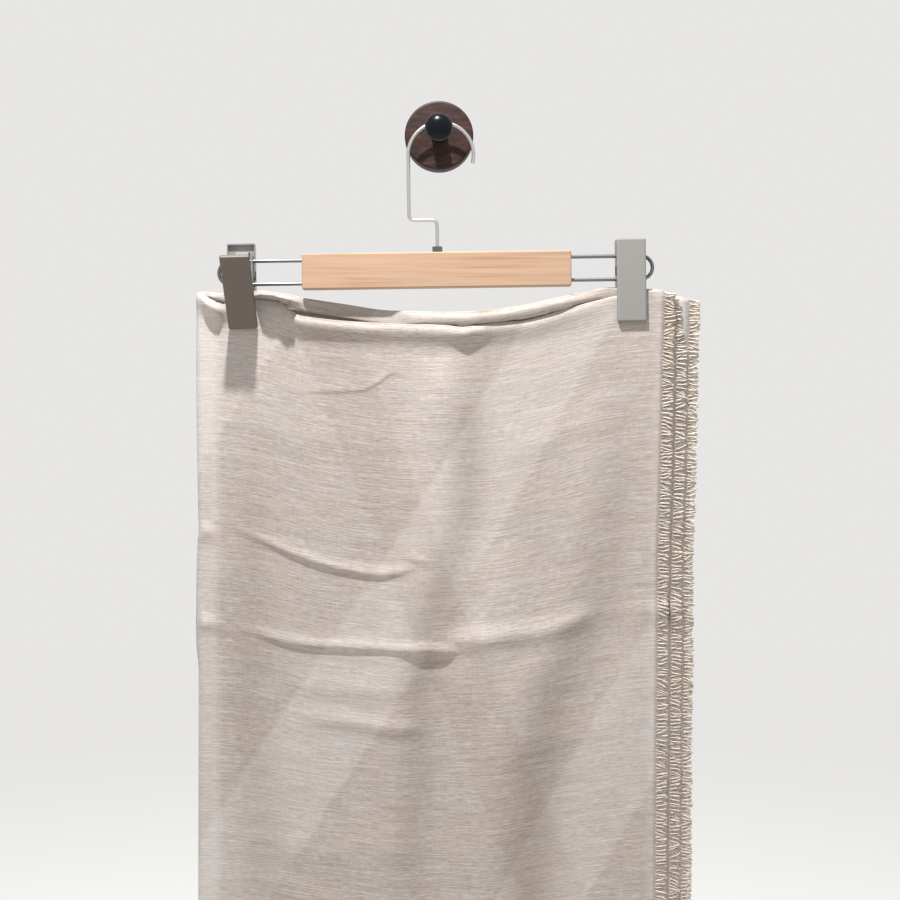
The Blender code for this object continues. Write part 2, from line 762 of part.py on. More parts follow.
def add_cutter(name, radius, length, matrix, parent):
    """A cylinder that only cuts."""
    shape = bmesh.new()
    bmesh.ops.create_cone(shape, cap_ends=True, segments=12, radius1=radius, radius2=radius, depth=length)
    thing = bpy.data.objects.new(name, mesh_from(name, shape, smooth=False))
    cutters.objects.link(thing)
    thing.parent = parent
    thing.matrix_local = matrix
    thing.hide_render = True
    thing.display_type = "WIRE"
    return thing


def cut(thing, cutter):
    """Take a cutter's shape out of an object."""
    modifier = thing.modifiers.new("Cut", "BOOLEAN")
    modifier.operation = "DIFFERENCE"
    modifier.solver = "EXACT"
    modifier.object = cutter


def round_edges(thing, width, segments):
    """Round an object's sharp edges."""
    modifier = thing.modifiers.new("Round", "BEVEL")
    modifier.width = width
    modifier.segments = segments
    modifier.limit_method = "ANGLE"
    modifier.angle_limit = math.radians(40.0)


def box_mesh(name, size):
    """A box of the given size about its centre."""
    shape = bmesh.new()
    bmesh.ops.create_cube(shape, size=1.0)
    bmesh.ops.scale(shape, vec=size, verts=shape.verts)
    return mesh_from(name, shape, smooth=False)


def rail_heights():
    """Heights of the upper and the lower rail."""
    return [BAR_CENTRE[1] + side * RAIL_SPACING / 2.0 for side in (1.0, -1.0)]


def rail_points():
    """The closed loop of wire: two straight runs joined by a half circle at each end."""
    radius = RAIL_SPACING / 2.0
    points = []
    for across, start in ((RAIL_RIGHT - radius, 90.0), (RAIL_LEFT + radius, 270.0)):
        for step in range(9):
            angle = math.radians(start - 180.0 * step / 8.0)
            points.append((across + radius * math.cos(angle), BAR_CENTRE[1] + radius * math.sin(angle)))
    return points


def hook_points():
    """The hook from the foot of its stem to its free end."""
    drop = PIN_RADIUS + SEAM_GAP + WIRE_RADIUS - HOOK_ARC_RADIUS
    arc_height = -math.sqrt(drop ** 2 - HOOK_ARC_ACROSS ** 2)
    side = HOOK_ARC_ACROSS - HOOK_ARC_RADIUS
    path = rounded_path((
        (HOOK_STEM_ACROSS, HOOK_STEM_END, 0.0),
        (HOOK_STEM_ACROSS, HOOK_SHELF_HEIGHT, HOOK_BEND),
        (side, HOOK_SHELF_HEIGHT, HOOK_BEND),
        (side, arc_height, 0.0),
    ))
    arc_steps = 22
    for step in range(1, arc_steps + 1):
        angle = math.pi + (HOOK_END_ANGLE - math.pi) * step / arc_steps
        across = HOOK_ARC_ACROSS + HOOK_ARC_RADIUS * math.cos(angle)
        path.append(Vector((across, arc_height + HOOK_ARC_RADIUS * math.sin(angle))))
    return path


def add_pan(name, location, tilt, roll, parent, turned=False):
    """A clip plate: a shallow pan of sheet metal that stands on the middle of its lower rim."""
    shape = bmesh.new()
    bmesh.ops.create_cube(shape, size=1.0)
    bmesh.ops.translate(shape, vec=(0.0, -0.5, 0.5), verts=shape.verts)
    bmesh.ops.scale(shape, vec=(PLATE_WIDTH, PLATE_DEPTH, PLATE_HEIGHT), verts=shape.verts)
    shape.normal_update()
    open_side = [face for face in shape.faces if face.normal.y > 0.9]
    bmesh.ops.delete(shape, geom=open_side, context="FACES_ONLY")
    folds = [edge for edge in shape.edges if not edge.is_boundary]
    bmesh.ops.bevel(shape, geom=folds, offset=PLATE_CORNER, segments=2, profile=0.5, affect="EDGES")
    thing = add_object(name, mesh_from(name, shape), "plate", parent)
    thicken(thing, SHEET, -1.0)
    facing = Matrix.Rotation(math.pi if turned else 0.0, 4, "Z")
    lean_back = Matrix.Rotation(roll, 4, "Y") @ Matrix.Rotation(tilt, 4, "X")
    thing.matrix_local = Matrix.Translation(location) @ lean_back @ facing
    return thing


def add_saddle(name, across, parent):
    """The channel that slides on the rails: a web behind and a cheek on each side."""
    rear_depth_at = REAR_RIM_DEPTH - PLATE_DEPTH + SHEET + SEAM_GAP
    size = (SADDLE_WIDTH, SADDLE_FRONT_DEPTH - rear_depth_at, SADDLE_TOP - SADDLE_FOOT)
    shape = bmesh.new()
    bmesh.ops.create_cube(shape, size=1.0)
    bmesh.ops.scale(shape, vec=size, verts=shape.verts)
    shape.normal_update()
    open_sides = [face for face in shape.faces if face.normal.y < -0.9 or abs(face.normal.z) > 0.9]
    bmesh.ops.delete(shape, geom=open_sides, context="FACES")
    folds = [edge for edge in shape.edges if not edge.is_boundary]
    bmesh.ops.bevel(shape, geom=folds, offset=PLATE_CORNER, segments=2, profile=0.5, affect="EDGES")
    thing = add_object(name, mesh_from(name, shape), "plate", parent)
    thicken(thing, SHEET, -1.0)
    middle = (rear_depth_at + SADDLE_FRONT_DEPTH) / 2.0
    thing.location = (across, HANGER_DEPTH - middle, (SADDLE_TOP + SADDLE_FOOT) / 2.0)
    return thing


def add_spring(name, across, corners, parent):
    """The bent strip that presses the two plates together."""
    path = rounded_path(corners)
    rings = []
    for side in (-0.5, 0.5):
        place = across + side * SPRING_WIDTH
        rings.append([Vector((place, HANGER_DEPTH - depth, height)) for depth, height in path])
    return sheet_from_rings(name, rings, "wire", SPRING_THICKNESS, parent)


def make_hanger():
    """The trouser hanger: wooden bar, rails, hook with its nut, and two spring clips."""
    frame = bpy.data.objects.new("hanger_frame", None)
    parts.objects.link(frame)
    frame.location = (0.0, -HANGER_DEPTH, 0.0)
    frame.rotation_euler = (0.0, HANGER_TIP, 0.0)

    along = Matrix.Rotation(math.pi / 2.0, 4, "Y")
    rail_cutters = []
    for number, height in enumerate(rail_heights()):
        place = Matrix.Translation((0.0, 0.0, height)) @ along
        rail_cutters.append(add_cutter(f"rail_cutter_{number}", WIRE_HOLE_RADIUS, 0.4, place, frame))
    hole_foot = HOOK_STEM_END - SEAM_GAP
    hole_top = -0.0800
    stem_place = Matrix.Translation((HOOK_STEM_ACROSS, 0.0, (hole_foot + hole_top) / 2.0))
    stem_cutter = add_cutter("stem_cutter", WIRE_HOLE_RADIUS, hole_top - hole_foot, stem_place, frame)

    bar_size = (BAR_LENGTH, BAR_THICKNESS, BAR_HEIGHT)
    bar = add_object("hanger_bar", box_mesh("hanger_bar", bar_size), "maple", frame)
    bar.location = (BAR_CENTRE[0], 0.0, BAR_CENTRE[1])
    round_edges(bar, BAR_EDGE, 2)
    for cutter in (*rail_cutters, stem_cutter):
        cut(bar, cutter)

    add_wire("hanger_rails", rail_points(), "wire", frame, closed=True)
    add_wire("hanger_hook", hook_points(), "wire", frame)

    nut_shape = bmesh.new()
    bmesh.ops.create_cone(
        nut_shape, cap_ends=True, segments=16, radius1=NUT_RADIUS, radius2=NUT_RADIUS, depth=NUT_HEIGHT)
    nut = add_object("hook_nut", mesh_from("hook_nut", nut_shape), "plate", frame)
    bar_top = BAR_CENTRE[1] + BAR_HEIGHT / 2.0
    nut.location = (HOOK_STEM_ACROSS, 0.0, bar_top + SEAM_GAP + NUT_HEIGHT / 2.0)
    cut(nut, stem_cutter)

    for clip in CLIPS:
        name = "clip_" + clip["side"]
        front_place = (clip["across"], HANGER_DEPTH - FRONT_RIM_DEPTH, clip["front_foot"])
        add_pan(name + "_front_plate", front_place, clip["tilt"], clip["roll"], frame)
        rear_place = (clip["rear_across"], HANGER_DEPTH - REAR_RIM_DEPTH, clip["rear_foot"])
        add_pan(name + "_rear_plate", rear_place, 0.0, clip["rear_roll"], frame, turned=True)
        saddle = add_saddle(name + "_saddle", clip["rear_across"], frame)
        for cutter in rail_cutters:
            cut(saddle, cutter)
        add_spring(name + "_spring", clip["across"], clip["spring"], frame)


def add_turned(name, profile, key):
    """A shape turned about an axis square to the wall; the profile runs from the room to the wall."""
    outline = bmesh.new()
    points = [outline.verts.new((radius, 0.0, depth)) for radius, depth in profile]
    for one, other in zip(points, points[1:]):
        outline.edges.new((one, other))
    thing = add_object(name, mesh_from(name, outline, smooth=False), key)
    screw = thing.modifiers.new("Turn", "SCREW")
    screw.steps = TURNED_STEPS
    screw.render_steps = TURNED_STEPS
    screw.use_merge_vertices = True
    screw.merge_threshold = 0.00005
    screw.use_smooth_shade = True
    thing.rotation_euler = (math.pi / 2.0, 0.0, 0.0)
    return thing


def make_peg():
    """The wall peg that the hook hangs on."""
    disc = [(0.0, DISC_THICKNESS)]
    for step in range(4):
        angle = math.radians(90.0 - 30.0 * step)
        inset = DISC_ROUND * (1.0 - math.cos(angle))
        disc.append((DISC_RADIUS - inset, DISC_THICKNESS - DISC_ROUND * (1.0 - math.sin(angle))))
    disc += [(DISC_RADIUS, 0.0), (0.0, 0.0)]
    add_turned("peg_disc", disc, "walnut")

    neck_angle = math.pi - math.asin(PIN_RADIUS / KNOB_RADIUS)
    knob_steps = 8
    pin = []
    for step in range(knob_steps + 1):
        angle = neck_angle * step / knob_steps
        pin.append((KNOB_RADIUS * math.sin(angle), KNOB_CENTRE + KNOB_HALF_DEPTH * math.cos(angle)))
    foot = DISC_THICKNESS + SEAM_GAP
    pin += [(PIN_RADIUS, foot), (0.0, foot)]
    add_turned("peg_pin", pin, "black")


for leftover in list(bpy.data.objects):
    bpy.data.objects.remove(leftover, do_unlink=True)
parts = bpy.data.collections.new("scarf_on_hanger")
cutters = bpy.data.collections.new("cutters")
bpy.context.scene.collection.children.link(parts)
bpy.context.scene.collection.children.link(cutters)

make_front_ply()
make_rear_ply()
make_inner_plies()
make_fringes()
make_hanger()
make_peg()
bpy.context.view_layer.update()
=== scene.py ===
"""Looks of a fringed scarf, folded twice, on a clip hanger that hangs on a round wall peg.

Metres, +Z up. The wall is the plane Y = 0 and the room lies at negative Y. "Depth" is the distance
in front of the wall, so Y = -depth. "Across" is X and "height" is Z.

The scarf is one length of sheer plain weave, folded over at the top and then in half at its left
side. The outer wrap is one sheet from the right edge in front, round the left fold, to the right
edge behind; the inner wrap is the sheet inside it. Each raw edge has a short frayed fringe.
"""

import math

import bmesh
import bpy
import numpy as np
from mathutils import Matrix, Vector


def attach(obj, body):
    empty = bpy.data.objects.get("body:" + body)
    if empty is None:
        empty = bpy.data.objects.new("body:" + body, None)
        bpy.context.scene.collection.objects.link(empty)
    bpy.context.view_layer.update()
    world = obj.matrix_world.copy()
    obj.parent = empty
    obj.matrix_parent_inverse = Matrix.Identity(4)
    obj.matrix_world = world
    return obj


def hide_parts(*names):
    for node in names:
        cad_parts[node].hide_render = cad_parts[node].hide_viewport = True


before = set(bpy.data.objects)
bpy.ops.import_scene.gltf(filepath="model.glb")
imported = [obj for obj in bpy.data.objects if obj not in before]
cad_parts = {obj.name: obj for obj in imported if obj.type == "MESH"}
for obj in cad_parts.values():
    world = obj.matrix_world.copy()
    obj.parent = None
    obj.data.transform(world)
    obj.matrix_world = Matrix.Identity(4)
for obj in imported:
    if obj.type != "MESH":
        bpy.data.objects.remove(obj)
bpy.context.view_layer.update()

# Cloth: how it hangs, as in the solids
CUT_LENGTH = 1.800
CLOTH_WALL = 0.0005
SOLID_WALL = 0.0010
ROLL_RADIUS = 0.0013
INNER_DROP = 0.0060
INNER_RISE_START = 0.150
INNER_RISE_WIDTH = 0.018
FRONT_DEPTH = 0.0280
REAR_DEPTH = 0.0208
BUNDLE = 0.0072
FOLD_NOSE = 0.0045
FOLD_SWELL = 0.0010
FOLD_SWELL_WIDTH = 0.0090
RIDGE_HEIGHT_LEFT = -0.1202
HEM_FRONT = RIDGE_HEIGHT_LEFT - CUT_LENGTH / 2.0
HEM_FRONT_INNER = HEM_FRONT - 0.0090
HEM_REAR_INNER = HEM_FRONT - 0.0130
HEM_REAR = HEM_FRONT - 0.0020
INNER_OFFSET = 0.0023
LIP_DROP = 0.0046
LIP_ABOVE = 0.0043
LIP_BELOW = 0.0085
REAR_LIP_BELOW = 0.0140
LEAN_LENGTH = 0.0180
PUFF_RISE = 0.0022
PUFF_ROOM = 0.0200

# Ridge of the front panel: across, height of its top, depth of its rounded lip
FRONT_RIDGE = (
    (-0.183, -0.1202, 0.029), (-0.175, -0.1258, 0.035), (-0.169, -0.1288, 0.0365),
    (-0.164, -0.1308, 0.0355), (-0.1612, -0.1314, 0.0284), (-0.1396, -0.1272, 0.0284),
    (-0.1362, -0.1268, 0.0288), (-0.124, -0.128, 0.0292), (-0.115, -0.1312, 0.0302),
    (-0.1105, -0.1362, 0.0332), (-0.106, -0.1392, 0.0338), (-0.099, -0.1405, 0.0334),
    (-0.069, -0.1437, 0.0329), (-0.0286, -0.1456, 0.0323), (0.006, -0.1468, 0.0336),
    (0.0182, -0.1482, 0.0352), (0.03, -0.1462, 0.033), (0.048, -0.1442, 0.031), (0.0612, -0.1433, 0.031),
    (0.102, -0.1326, 0.0304), (0.1337, -0.1248, 0.0283), (0.16, -0.1202, 0.0282),
    (0.1684, -0.1202, 0.029), (0.19, -0.1262, 0.029),
)

# Ridge of the rear panel: across, height of its top, depth of its lip
REAR_RIDGE = (
    (-0.183, -0.1202, 0.0208), (-0.179, -0.1208, 0.0216), (-0.172, -0.1218, 0.031),
    (-0.165, -0.1224, 0.03), (-0.1612, -0.1224, 0.021), (-0.1408, -0.1208, 0.021),
    (-0.1374, -0.1208, 0.0385), (-0.124, -0.122, 0.0415), (-0.113, -0.1238, 0.0405),
    (-0.1078, -0.125, 0.037), (-0.1034, -0.1256, 0.019), (-0.0721, -0.1301, 0.0172),
    (-0.0399, -0.1348, 0.0175), (-0.018, -0.1358, 0.024), (0.013, -0.1365, 0.029),
    (0.0426, -0.1346, 0.0305), (0.0866, -0.1264, 0.0305), (0.106, -0.1222, 0.027),
    (0.1313, -0.1176, 0.0208), (0.166, -0.1192, 0.0208), (0.19, -0.1256, 0.02),
)

# Left fold: height, leftmost place across
FOLD_LINE = (
    (-1.02, -0.1826), (-0.5833, -0.1827), (-0.4085, -0.1823), (-0.3857, -0.1842), (-0.3553, -0.1842),
    (-0.3096, -0.1831), (-0.302, -0.182), (-0.2906, -0.1827), (-0.1652, -0.1842), (-0.1196, -0.1838),
)

# Right edge of the front ply: height, place across; the other plies stand out past it
RIGHT_EDGE = (
    (-1.02, 0.163), (-0.5824, 0.1632), (-0.5065, 0.1636), (-0.3852, 0.1647), (-0.3246, 0.1651),
    (-0.2791, 0.1666), (-0.2184, 0.1681), (-0.1653, 0.1692), (-0.1198, 0.1704),
)
EDGE_STEP_FRONT = 0.0006
EDGE_STEP_FRONT_INNER = 0.0113
EDGE_STEP_REAR_INNER = 0.0205
EDGE_STEP_REAR = 0.0170
STEP_GROWTH = 0.0550
STEP_SHARE_AT_TOP = 0.30

# Main creases, one for each band of close rows: a ridge line (across, height), how far it stands
# out (across, rise), and how far it reaches above and below its ridge
FRONT_CREASES = (
    {"line": (
        (-0.175, -0.196), (-0.102, -0.1968), (-0.059, -0.1956), (-0.045, -0.1893), (-0.034, -0.1822),
        (-0.02, -0.1866), (0.165, -0.188)),
     "rise": ((-0.108, 0.0), (-0.092, 0.0005), (-0.042, 0.0007), (-0.018, 0.0)),
     "above": 0.005, "below": 0.0013},
    {"line": (
        (-0.177, -0.2994), (-0.158, -0.3001), (-0.134, -0.3092), (-0.1127, -0.3183), (-0.09, -0.3266),
        (-0.0673, -0.3319), (-0.0446, -0.3349), (-0.0257, -0.3327), (-0.0181, -0.3297)),
     "rise": (
        (-0.166, 0.0), (-0.145, 0.0006), (-0.115, 0.002), (-0.09, 0.0023), (-0.045, 0.0022),
        (-0.028, 0.0014), (-0.015, 0.0)),
     "above": 0.0048, "below": 0.003},
    {"line": (
        (-0.1809, -0.3683), (-0.1642, -0.3698), (-0.1468, -0.3773), (-0.1279, -0.3826),
        (-0.1052, -0.3879), (-0.0711, -0.3898), (-0.0295, -0.3917), (0.0084, -0.394), (0.0311, -0.3965),
        (0.165, -0.39)),
     "rise": (
        (-0.168, 0.0), (-0.14, 0.0006), (-0.123, 0.0019), (-0.1052, 0.0022), (-0.07, 0.0024),
        (-0.035, 0.0021), (-0.015, 0.0032), (0.003, 0.0036), (0.017, 0.0)),
     "above": 0.005, "below": 0.0031},
    {"line": (
        (-0.1453, -0.4326), (-0.1052, -0.4424), (-0.0673, -0.447), (-0.0295, -0.4515), (-0.0068, -0.45)),
     "rise": ((-0.12, 0.0), (-0.07, 0.0017), (-0.03, 0.0019), (0.0, 0.0)),
     "above": 0.008, "below": 0.0064},
    {"line": ((-0.17, -0.7), (-0.07, -0.712), (0.03, -0.706), (0.15, -0.69)),
     "rise": ((-0.183, 0.0015), (-0.1, 0.003), (0.02, 0.0008), (0.1, 0.0026), (0.16, 0.0)),
     "above": 0.007, "below": 0.0036},
)
REAR_CREASES = (
    {"line": ((-0.17, -0.215), (0.02, -0.21), (0.17, -0.198)),
     "rise": ((-0.02, 0.0), (0.04, -0.0009), (0.1, 0.0)),
     "above": 0.005, "below": 0.0016},
    {"line": ((-0.17, -0.338), (-0.06, -0.352), (0.06, -0.343), (0.17, -0.33)),
     "rise": ((-0.17, 0.0), (-0.08, -0.003), (0.01, -0.0008), (0.09, -0.0034), (0.16, 0.0)),
     "above": 0.0062, "below": 0.0038},
    {"line": ((-0.15, -0.442), (-0.02, -0.448), (0.12, -0.436)),
     "rise": ((-0.16, 0.0), (-0.03, -0.0014), (0.13, 0.0)),
     "above": 0.008, "below": 0.006},
    {"line": ((-0.17, -0.56), (-0.04, -0.576), (0.1, -0.564), (0.17, -0.552)),
     "rise": ((-0.17, -0.001), (-0.05, -0.0034), (0.06, -0.002), (0.16, 0.0)),
     "above": 0.0064, "below": 0.0038},
    {"line": ((-0.15, -0.73), (0.02, -0.742), (0.15, -0.726)),
     "rise": ((-0.15, 0.0), (-0.02, -0.0018), (0.09, -0.0024), (0.15, 0.0)),
     "above": 0.007, "below": 0.0045},
)

# Small and soft folds between the main creases; the first two are notches at the left fold
FRONT_FOLDS = (
    {"line": ((-0.183, -0.3015), (-0.168, -0.3045)),
     "rise": ((-0.185, 0.002), (-0.175, 0.0019), (-0.167, 0.0)),
     "above": 0.0056, "below": 0.0062},
    {"line": ((-0.183, -0.371), (-0.162, -0.3722)),
     "rise": ((-0.185, 0.002), (-0.173, 0.0019), (-0.162, 0.0)),
     "above": 0.005, "below": 0.006},
    {"line": ((-0.033, -0.319), (-0.018, -0.3235), (-0.006, -0.3262)),
     "rise": ((-0.042, 0.0), (-0.022, 0.0013), (-0.014, 0.001), (-0.002, 0.0)),
     "above": 0.005, "below": 0.003},
    {"line": (
        (0.0008, -0.3849), (0.0235, -0.3846), (0.0462, -0.3819), (0.0841, -0.3758), (0.1143, -0.3652),
        (0.137, -0.3637), (0.1643, -0.3622)),
     "rise": (
        (-0.01, 0.0), (0.02, 0.0026), (0.05, 0.0034), (0.085, 0.0034), (0.108, 0.0022), (0.122, 0.0004),
        (0.14, 0.0005), (0.162, 0.0019)),
     "above": 0.0058, "below": 0.0092},
    {"line": ((-0.1165, -0.4182), (-0.0749, -0.4228), (-0.0333, -0.4243)),
     "rise": ((-0.13, 0.0), (-0.09, 0.0013), (-0.05, 0.0013), (-0.02, 0.0)),
     "above": 0.0085, "below": 0.0068},
    {"line": ((0.03, -0.248), (0.09, -0.23), (0.15, -0.208)),
     "rise": ((0.025, 0.0), (0.07, 0.0009), (0.12, 0.001), (0.16, 0.0)),
     "above": 0.014, "below": 0.011},
    {"line": ((-0.17, -0.215), (-0.1, -0.232), (-0.03, -0.238)),
     "rise": ((-0.175, 0.0), (-0.12, 0.0009), (-0.06, 0.0008), (-0.015, 0.0)),
     "above": 0.013, "below": 0.011},
    {"line": ((0.02, -0.47), (0.08, -0.462), (0.14, -0.448)),
     "rise": ((0.01, 0.0), (0.06, 0.001), (0.11, 0.0011), (0.15, 0.0)),
     "above": 0.015, "below": 0.011},
    {"line": ((-0.16, -0.533), (-0.07, -0.548), (0.0, -0.542)),
     "rise": ((-0.17, 0.0), (-0.11, 0.0012), (-0.05, 0.001), (0.01, 0.0)),
     "above": 0.015, "below": 0.011},
    {"line": ((0.01, -0.6), (0.09, -0.59), (0.15, -0.58)),
     "rise": ((0.0, 0.0), (0.06, 0.0012), (0.11, 0.0012), (0.155, 0.0)),
     "above": 0.016, "below": 0.012},
    {"line": ((-0.17, -0.83), (-0.08, -0.842), (0.04, -0.838)),
     "rise": ((-0.17, 0.0), (-0.1, 0.0015), (-0.02, 0.0014), (0.05, 0.0)),
     "above": 0.015, "below": 0.011},
    {"line": ((0.02, -0.93), (0.09, -0.926), (0.15, -0.918)),
     "rise": ((0.01, 0.0), (0.07, 0.0013), (0.12, 0.0012), (0.16, 0.0)),
     "above": 0.015, "below": 0.012},
)
REAR_FOLDS = (
    {"line": ((-0.15, -0.235), (-0.02, -0.252), (0.12, -0.23)),
     "rise": ((-0.16, 0.0), (-0.06, -0.0012), (0.06, -0.001), (0.14, 0.0)),
     "above": 0.014, "below": 0.011},
    {"line": ((-0.12, -0.65), (0.02, -0.662), (0.15, -0.648)),
     "rise": ((-0.15, 0.0), (-0.04, -0.0013), (0.08, -0.0013), (0.15, 0.0)),
     "above": 0.015, "below": 0.011},
    {"line": ((-0.16, -0.85), (-0.03, -0.864), (0.12, -0.852)),
     "rise": ((-0.16, 0.0), (-0.07, -0.0015), (0.05, -0.001), (0.14, 0.0)),
     "above": 0.016, "below": 0.012},
)

# Soft upright waves that run through all four plies: the crest's path as height, place across
WAVES = (
    {"path": (
        (-1.03, -0.036), (-0.568, -0.0311), (-0.4312, -0.0311), (-0.3552, -0.0144), (-0.2792, 0.0046),
        (-0.1728, 0.0099)),
     "rise": 0.0048, "width": 0.02, "trough": 0.029, "starts": 0.01, "grows": 0.07},
    {"path": (
        (-1.03, 0.045), (-0.5832, 0.0388), (-0.5072, 0.0441), (-0.4312, 0.0654), (-0.3552, 0.0996),
        (-0.2336, 0.1148)),
     "rise": 0.0046, "width": 0.023, "trough": 0.04, "starts": 0.06, "grows": 0.11},
    {"path": ((-1.03, -0.115), (-0.65, -0.108)),
     "rise": 0.003, "width": 0.024, "trough": 0.038, "starts": 0.42, "grows": 0.2},
)
TROUGH_SHARE = 0.55
EDGE_CALM_START = 0.1380
EDGE_CALM_WIDTH = 0.0270

# Painted light and shade on the cloth, in soft upright streaks: a positive strength paints light on, a
# negative one paints shade along the waves' troughs. Each streak's path as height, place across; its strength
# by height; and its width
PAINTED_SHADING_STREAKS = (
    {"path": (
        (-0.582, -0.0219), (-0.4986, -0.0196), (-0.4305, -0.0158), (-0.385, -0.0068), (-0.3547, 0.0008),
        (-0.3244, 0.0054)),
     "strength": (
        (-0.9, 0.0), (-0.58, -0.06), (-0.4986, -0.11), (-0.415, -0.14), (-0.385, -0.05), (-0.3547, -0.1),
        (-0.3244, 0.0)),
     "width": 0.014},
    {"path": (
        (-0.582, 0.066), (-0.5289, 0.0735), (-0.4986, 0.0781), (-0.4456, 0.0841), (-0.4229, 0.0887)),
     "strength": (
        (-0.95, 0.0), (-0.7, -0.18), (-0.567, -0.26), (-0.5289, -0.21), (-0.4986, -0.18),
        (-0.4456, -0.14), (-0.4229, -0.1), (-0.3926, 0.0)),
     "width": 0.021},
    {"path": ((-0.56, -0.134), (-0.43, -0.144), (-0.27, -0.142)),
     "strength": (
        (-0.9, 0.0), (-0.62, -0.12), (-0.52, -0.17), (-0.3, -0.15), (-0.26, -0.08), (-0.23, 0.0)),
     "width": 0.019},
    {"path": (
        (-0.2865, -0.0257), (-0.2562, -0.0234), (-0.2259, -0.0204), (-0.1957, -0.0068),
        (-0.165, -0.0053)),
     "strength": (
        (-0.295, 0.0), (-0.2562, 0.08), (-0.2259, 0.09), (-0.1957, 0.13), (-0.175, 0.13), (-0.16, 0.0)),
     "width": 0.019},
    {"path": ((-0.43, 0.0122), (-0.4077, 0.016), (-0.3774, 0.0296), (-0.3471, 0.0447), (-0.3168, 0.0463)),
     "strength": (
        (-0.438, 0.0), (-0.4077, 0.12), (-0.3774, 0.21), (-0.3471, 0.14), (-0.3168, 0.11), (-0.294, 0.0)),
     "width": 0.019},
    {"path": ((-0.3, 0.022), (-0.22, 0.023)),
     "strength": ((-0.315, 0.0), (-0.27, -0.13), (-0.226, -0.15), (-0.195, 0.0)),
     "width": 0.013},
)
# Painted shade turns a little browner and painted light a little cooler: the shares of the change in red and
# in blue
PAINTED_SHADING_RED_SHARE = 0.92
PAINTED_SHADING_BLUE_SHARE = 1.08

# How the weft sags between the clips: across, height; it hangs straight again at the foot
SAG_LINE = (
    (-0.1830, -0.1202), (-0.1450, -0.1240), (-0.0900, -0.1385), (-0.0200, -0.1470), (0.0300, -0.1460),
    (0.0900, -0.1340), (0.1300, -0.1240), (0.1684, -0.1202), (0.1850, -0.1202),
)
SAG_FOOT = -1.1000

# Grid of the sheets: columns across each panel, steps round the nose, rows by stretch
FRONT_COLUMNS = 104
REAR_COLUMNS = 64
NOSE_STEPS = 12
ROLL_STEPS = 8
TURN_ROWS = 7
RIDGE_ROWS = 15
RIDGE_STRETCH = 0.0245
RIDGE_CROWDING = 1.3
CREASE_OFFSETS = np.linspace(0.0095, -0.0090, 17)
ROWS_BETWEEN = (6, 16, 12, 12, 43)
HEM_ROWS = 58
INNER_COLUMNS = 50
INNER_NOSE_STEPS = 6
INNER_ROWS = 96
INNER_CROWDING = 1.2

# Fringe: tufts of fine yarns that leave the raw edge side by side and spread to blunt tips
FRINGE_ROOM = 0.0020
TUFT_PITCH = 0.0026
TUFT_LENGTH = 0.0098
TUFT_RADIUS = 0.00034
TUFT_SPREAD = 0.00034
TUFT_SET_BACK = 0.0003
TUFT_LENGTH_RANGE = (0.93, 1.03)
TUFT_UNEVEN = 0.12
BACK_TUFT_SHORTER = 0.08
GATHER_SHARE = 0.30
ROOT_SPREAD = 1.7
YARNS_IN_TUFT = 3
YARN_RADIUS = 0.00048
YARN_STEPS = 6
YARN_TWIST = 2.6
YARN_TURN_RANGE = (0.0, 6.3)
YARN_SPREAD_RANGE = (0.85, 1.20)
YARN_TRIM = 0.06
ROOT_DEPTH = 0.0008

# How start angle, curl and lift run along a row of tufts: smooth waves over so many tufts, and each
# tuft's own part, by its mean and spread
TUFT_COURSES = {
    "start": {"strength": 0.14, "spans": (14.0, 24.6, 43.4), "mean": 0.0, "spread": 0.05},
    "curl": {"strength": 0.38, "spans": (12.2, 19.4, 34.6), "mean": 0.12, "spread": 0.10},
    "lift": {"strength": 0.04, "spans": (10.6, 18.2, 38.0), "mean": 0.0, "spread": 0.02},
}

# Colours of the yarns on a screen, darkest first, and the soft patches of tint over them
CLOTH_TONES = ((143, 132, 123), (162, 152, 145), (180, 174, 170))
FRINGE_TONES = ((193, 179, 166), (202, 190, 178), (209, 199, 188))
TONE_STOPS = (0.37, 0.50, 0.63)
PATCH_REPEATS = (22.0, 30.0, 1.0)
PATCH_TINTS = ((0.35, (1.000, 0.975, 0.960)), (0.65, (0.970, 0.985, 1.000)))
WHITE = (1.0, 1.0, 1.0, 1.0)

# Yarns as noise: repeats per metre along and up the cloth, how rough it is, its shares of tone and relief
YARN_LAYERS = {
    "slubs": {"repeats": (38.0, 930.0, 1.0), "detail": 2.0, "rough": 0.6, "tone": 0.40, "relief": 0.55},
    "fine": {"repeats": (170.0, 1500.0, 1.0), "detail": 1.0, "rough": 0.5, "tone": 0.36, "relief": 0.25},
    "broad": {"repeats": (8.0, 200.0, 1.0), "detail": 2.0, "rough": 0.5, "tone": 0.14, "relief": 0.0},
    "warp": {"repeats": (1250.0, 60.0, 1.0), "detail": 1.0, "rough": 0.5, "tone": 0.10, "relief": 0.20},
}
WEAVE_TURNS = 2.0 * math.pi / 0.0010
WEAVE_RELIEF = 0.10
RELIEF_DEPTH = 0.0005
CLOTH_RELIEF = 0.55
FRINGE_RELIEF = 0.15

# Faint slanted bands, and two strips of painted light: a lighter border at the outer wrap's right edges and a
# light strip at the left fold; the last two give where they start and end, by distance from the fold, and the
# share of white at each
LIGHT_BANDS = {"slope": (0.86, 0.51), "period": 0.210, "width": 0.062}
WARM_BANDS = {"slope": (0.93, -0.37), "period": 0.290, "width": 0.040}
LIGHT_BANDS_WHITE = 0.070
WARM_BANDS_TINT = (0.945, 0.920, 0.900, 1.0)
BAND_SOFT = 0.0030
BAND_RAGGED = 0.0120
FOLD_ALONG = 0.3480
PAINTED_EDGE_LIGHT = (0.3380, 0.3600, 0.0, 0.16)
PAINTED_FOLD_LIGHT = (0.0090, 0.0160, 0.095, 0.0)

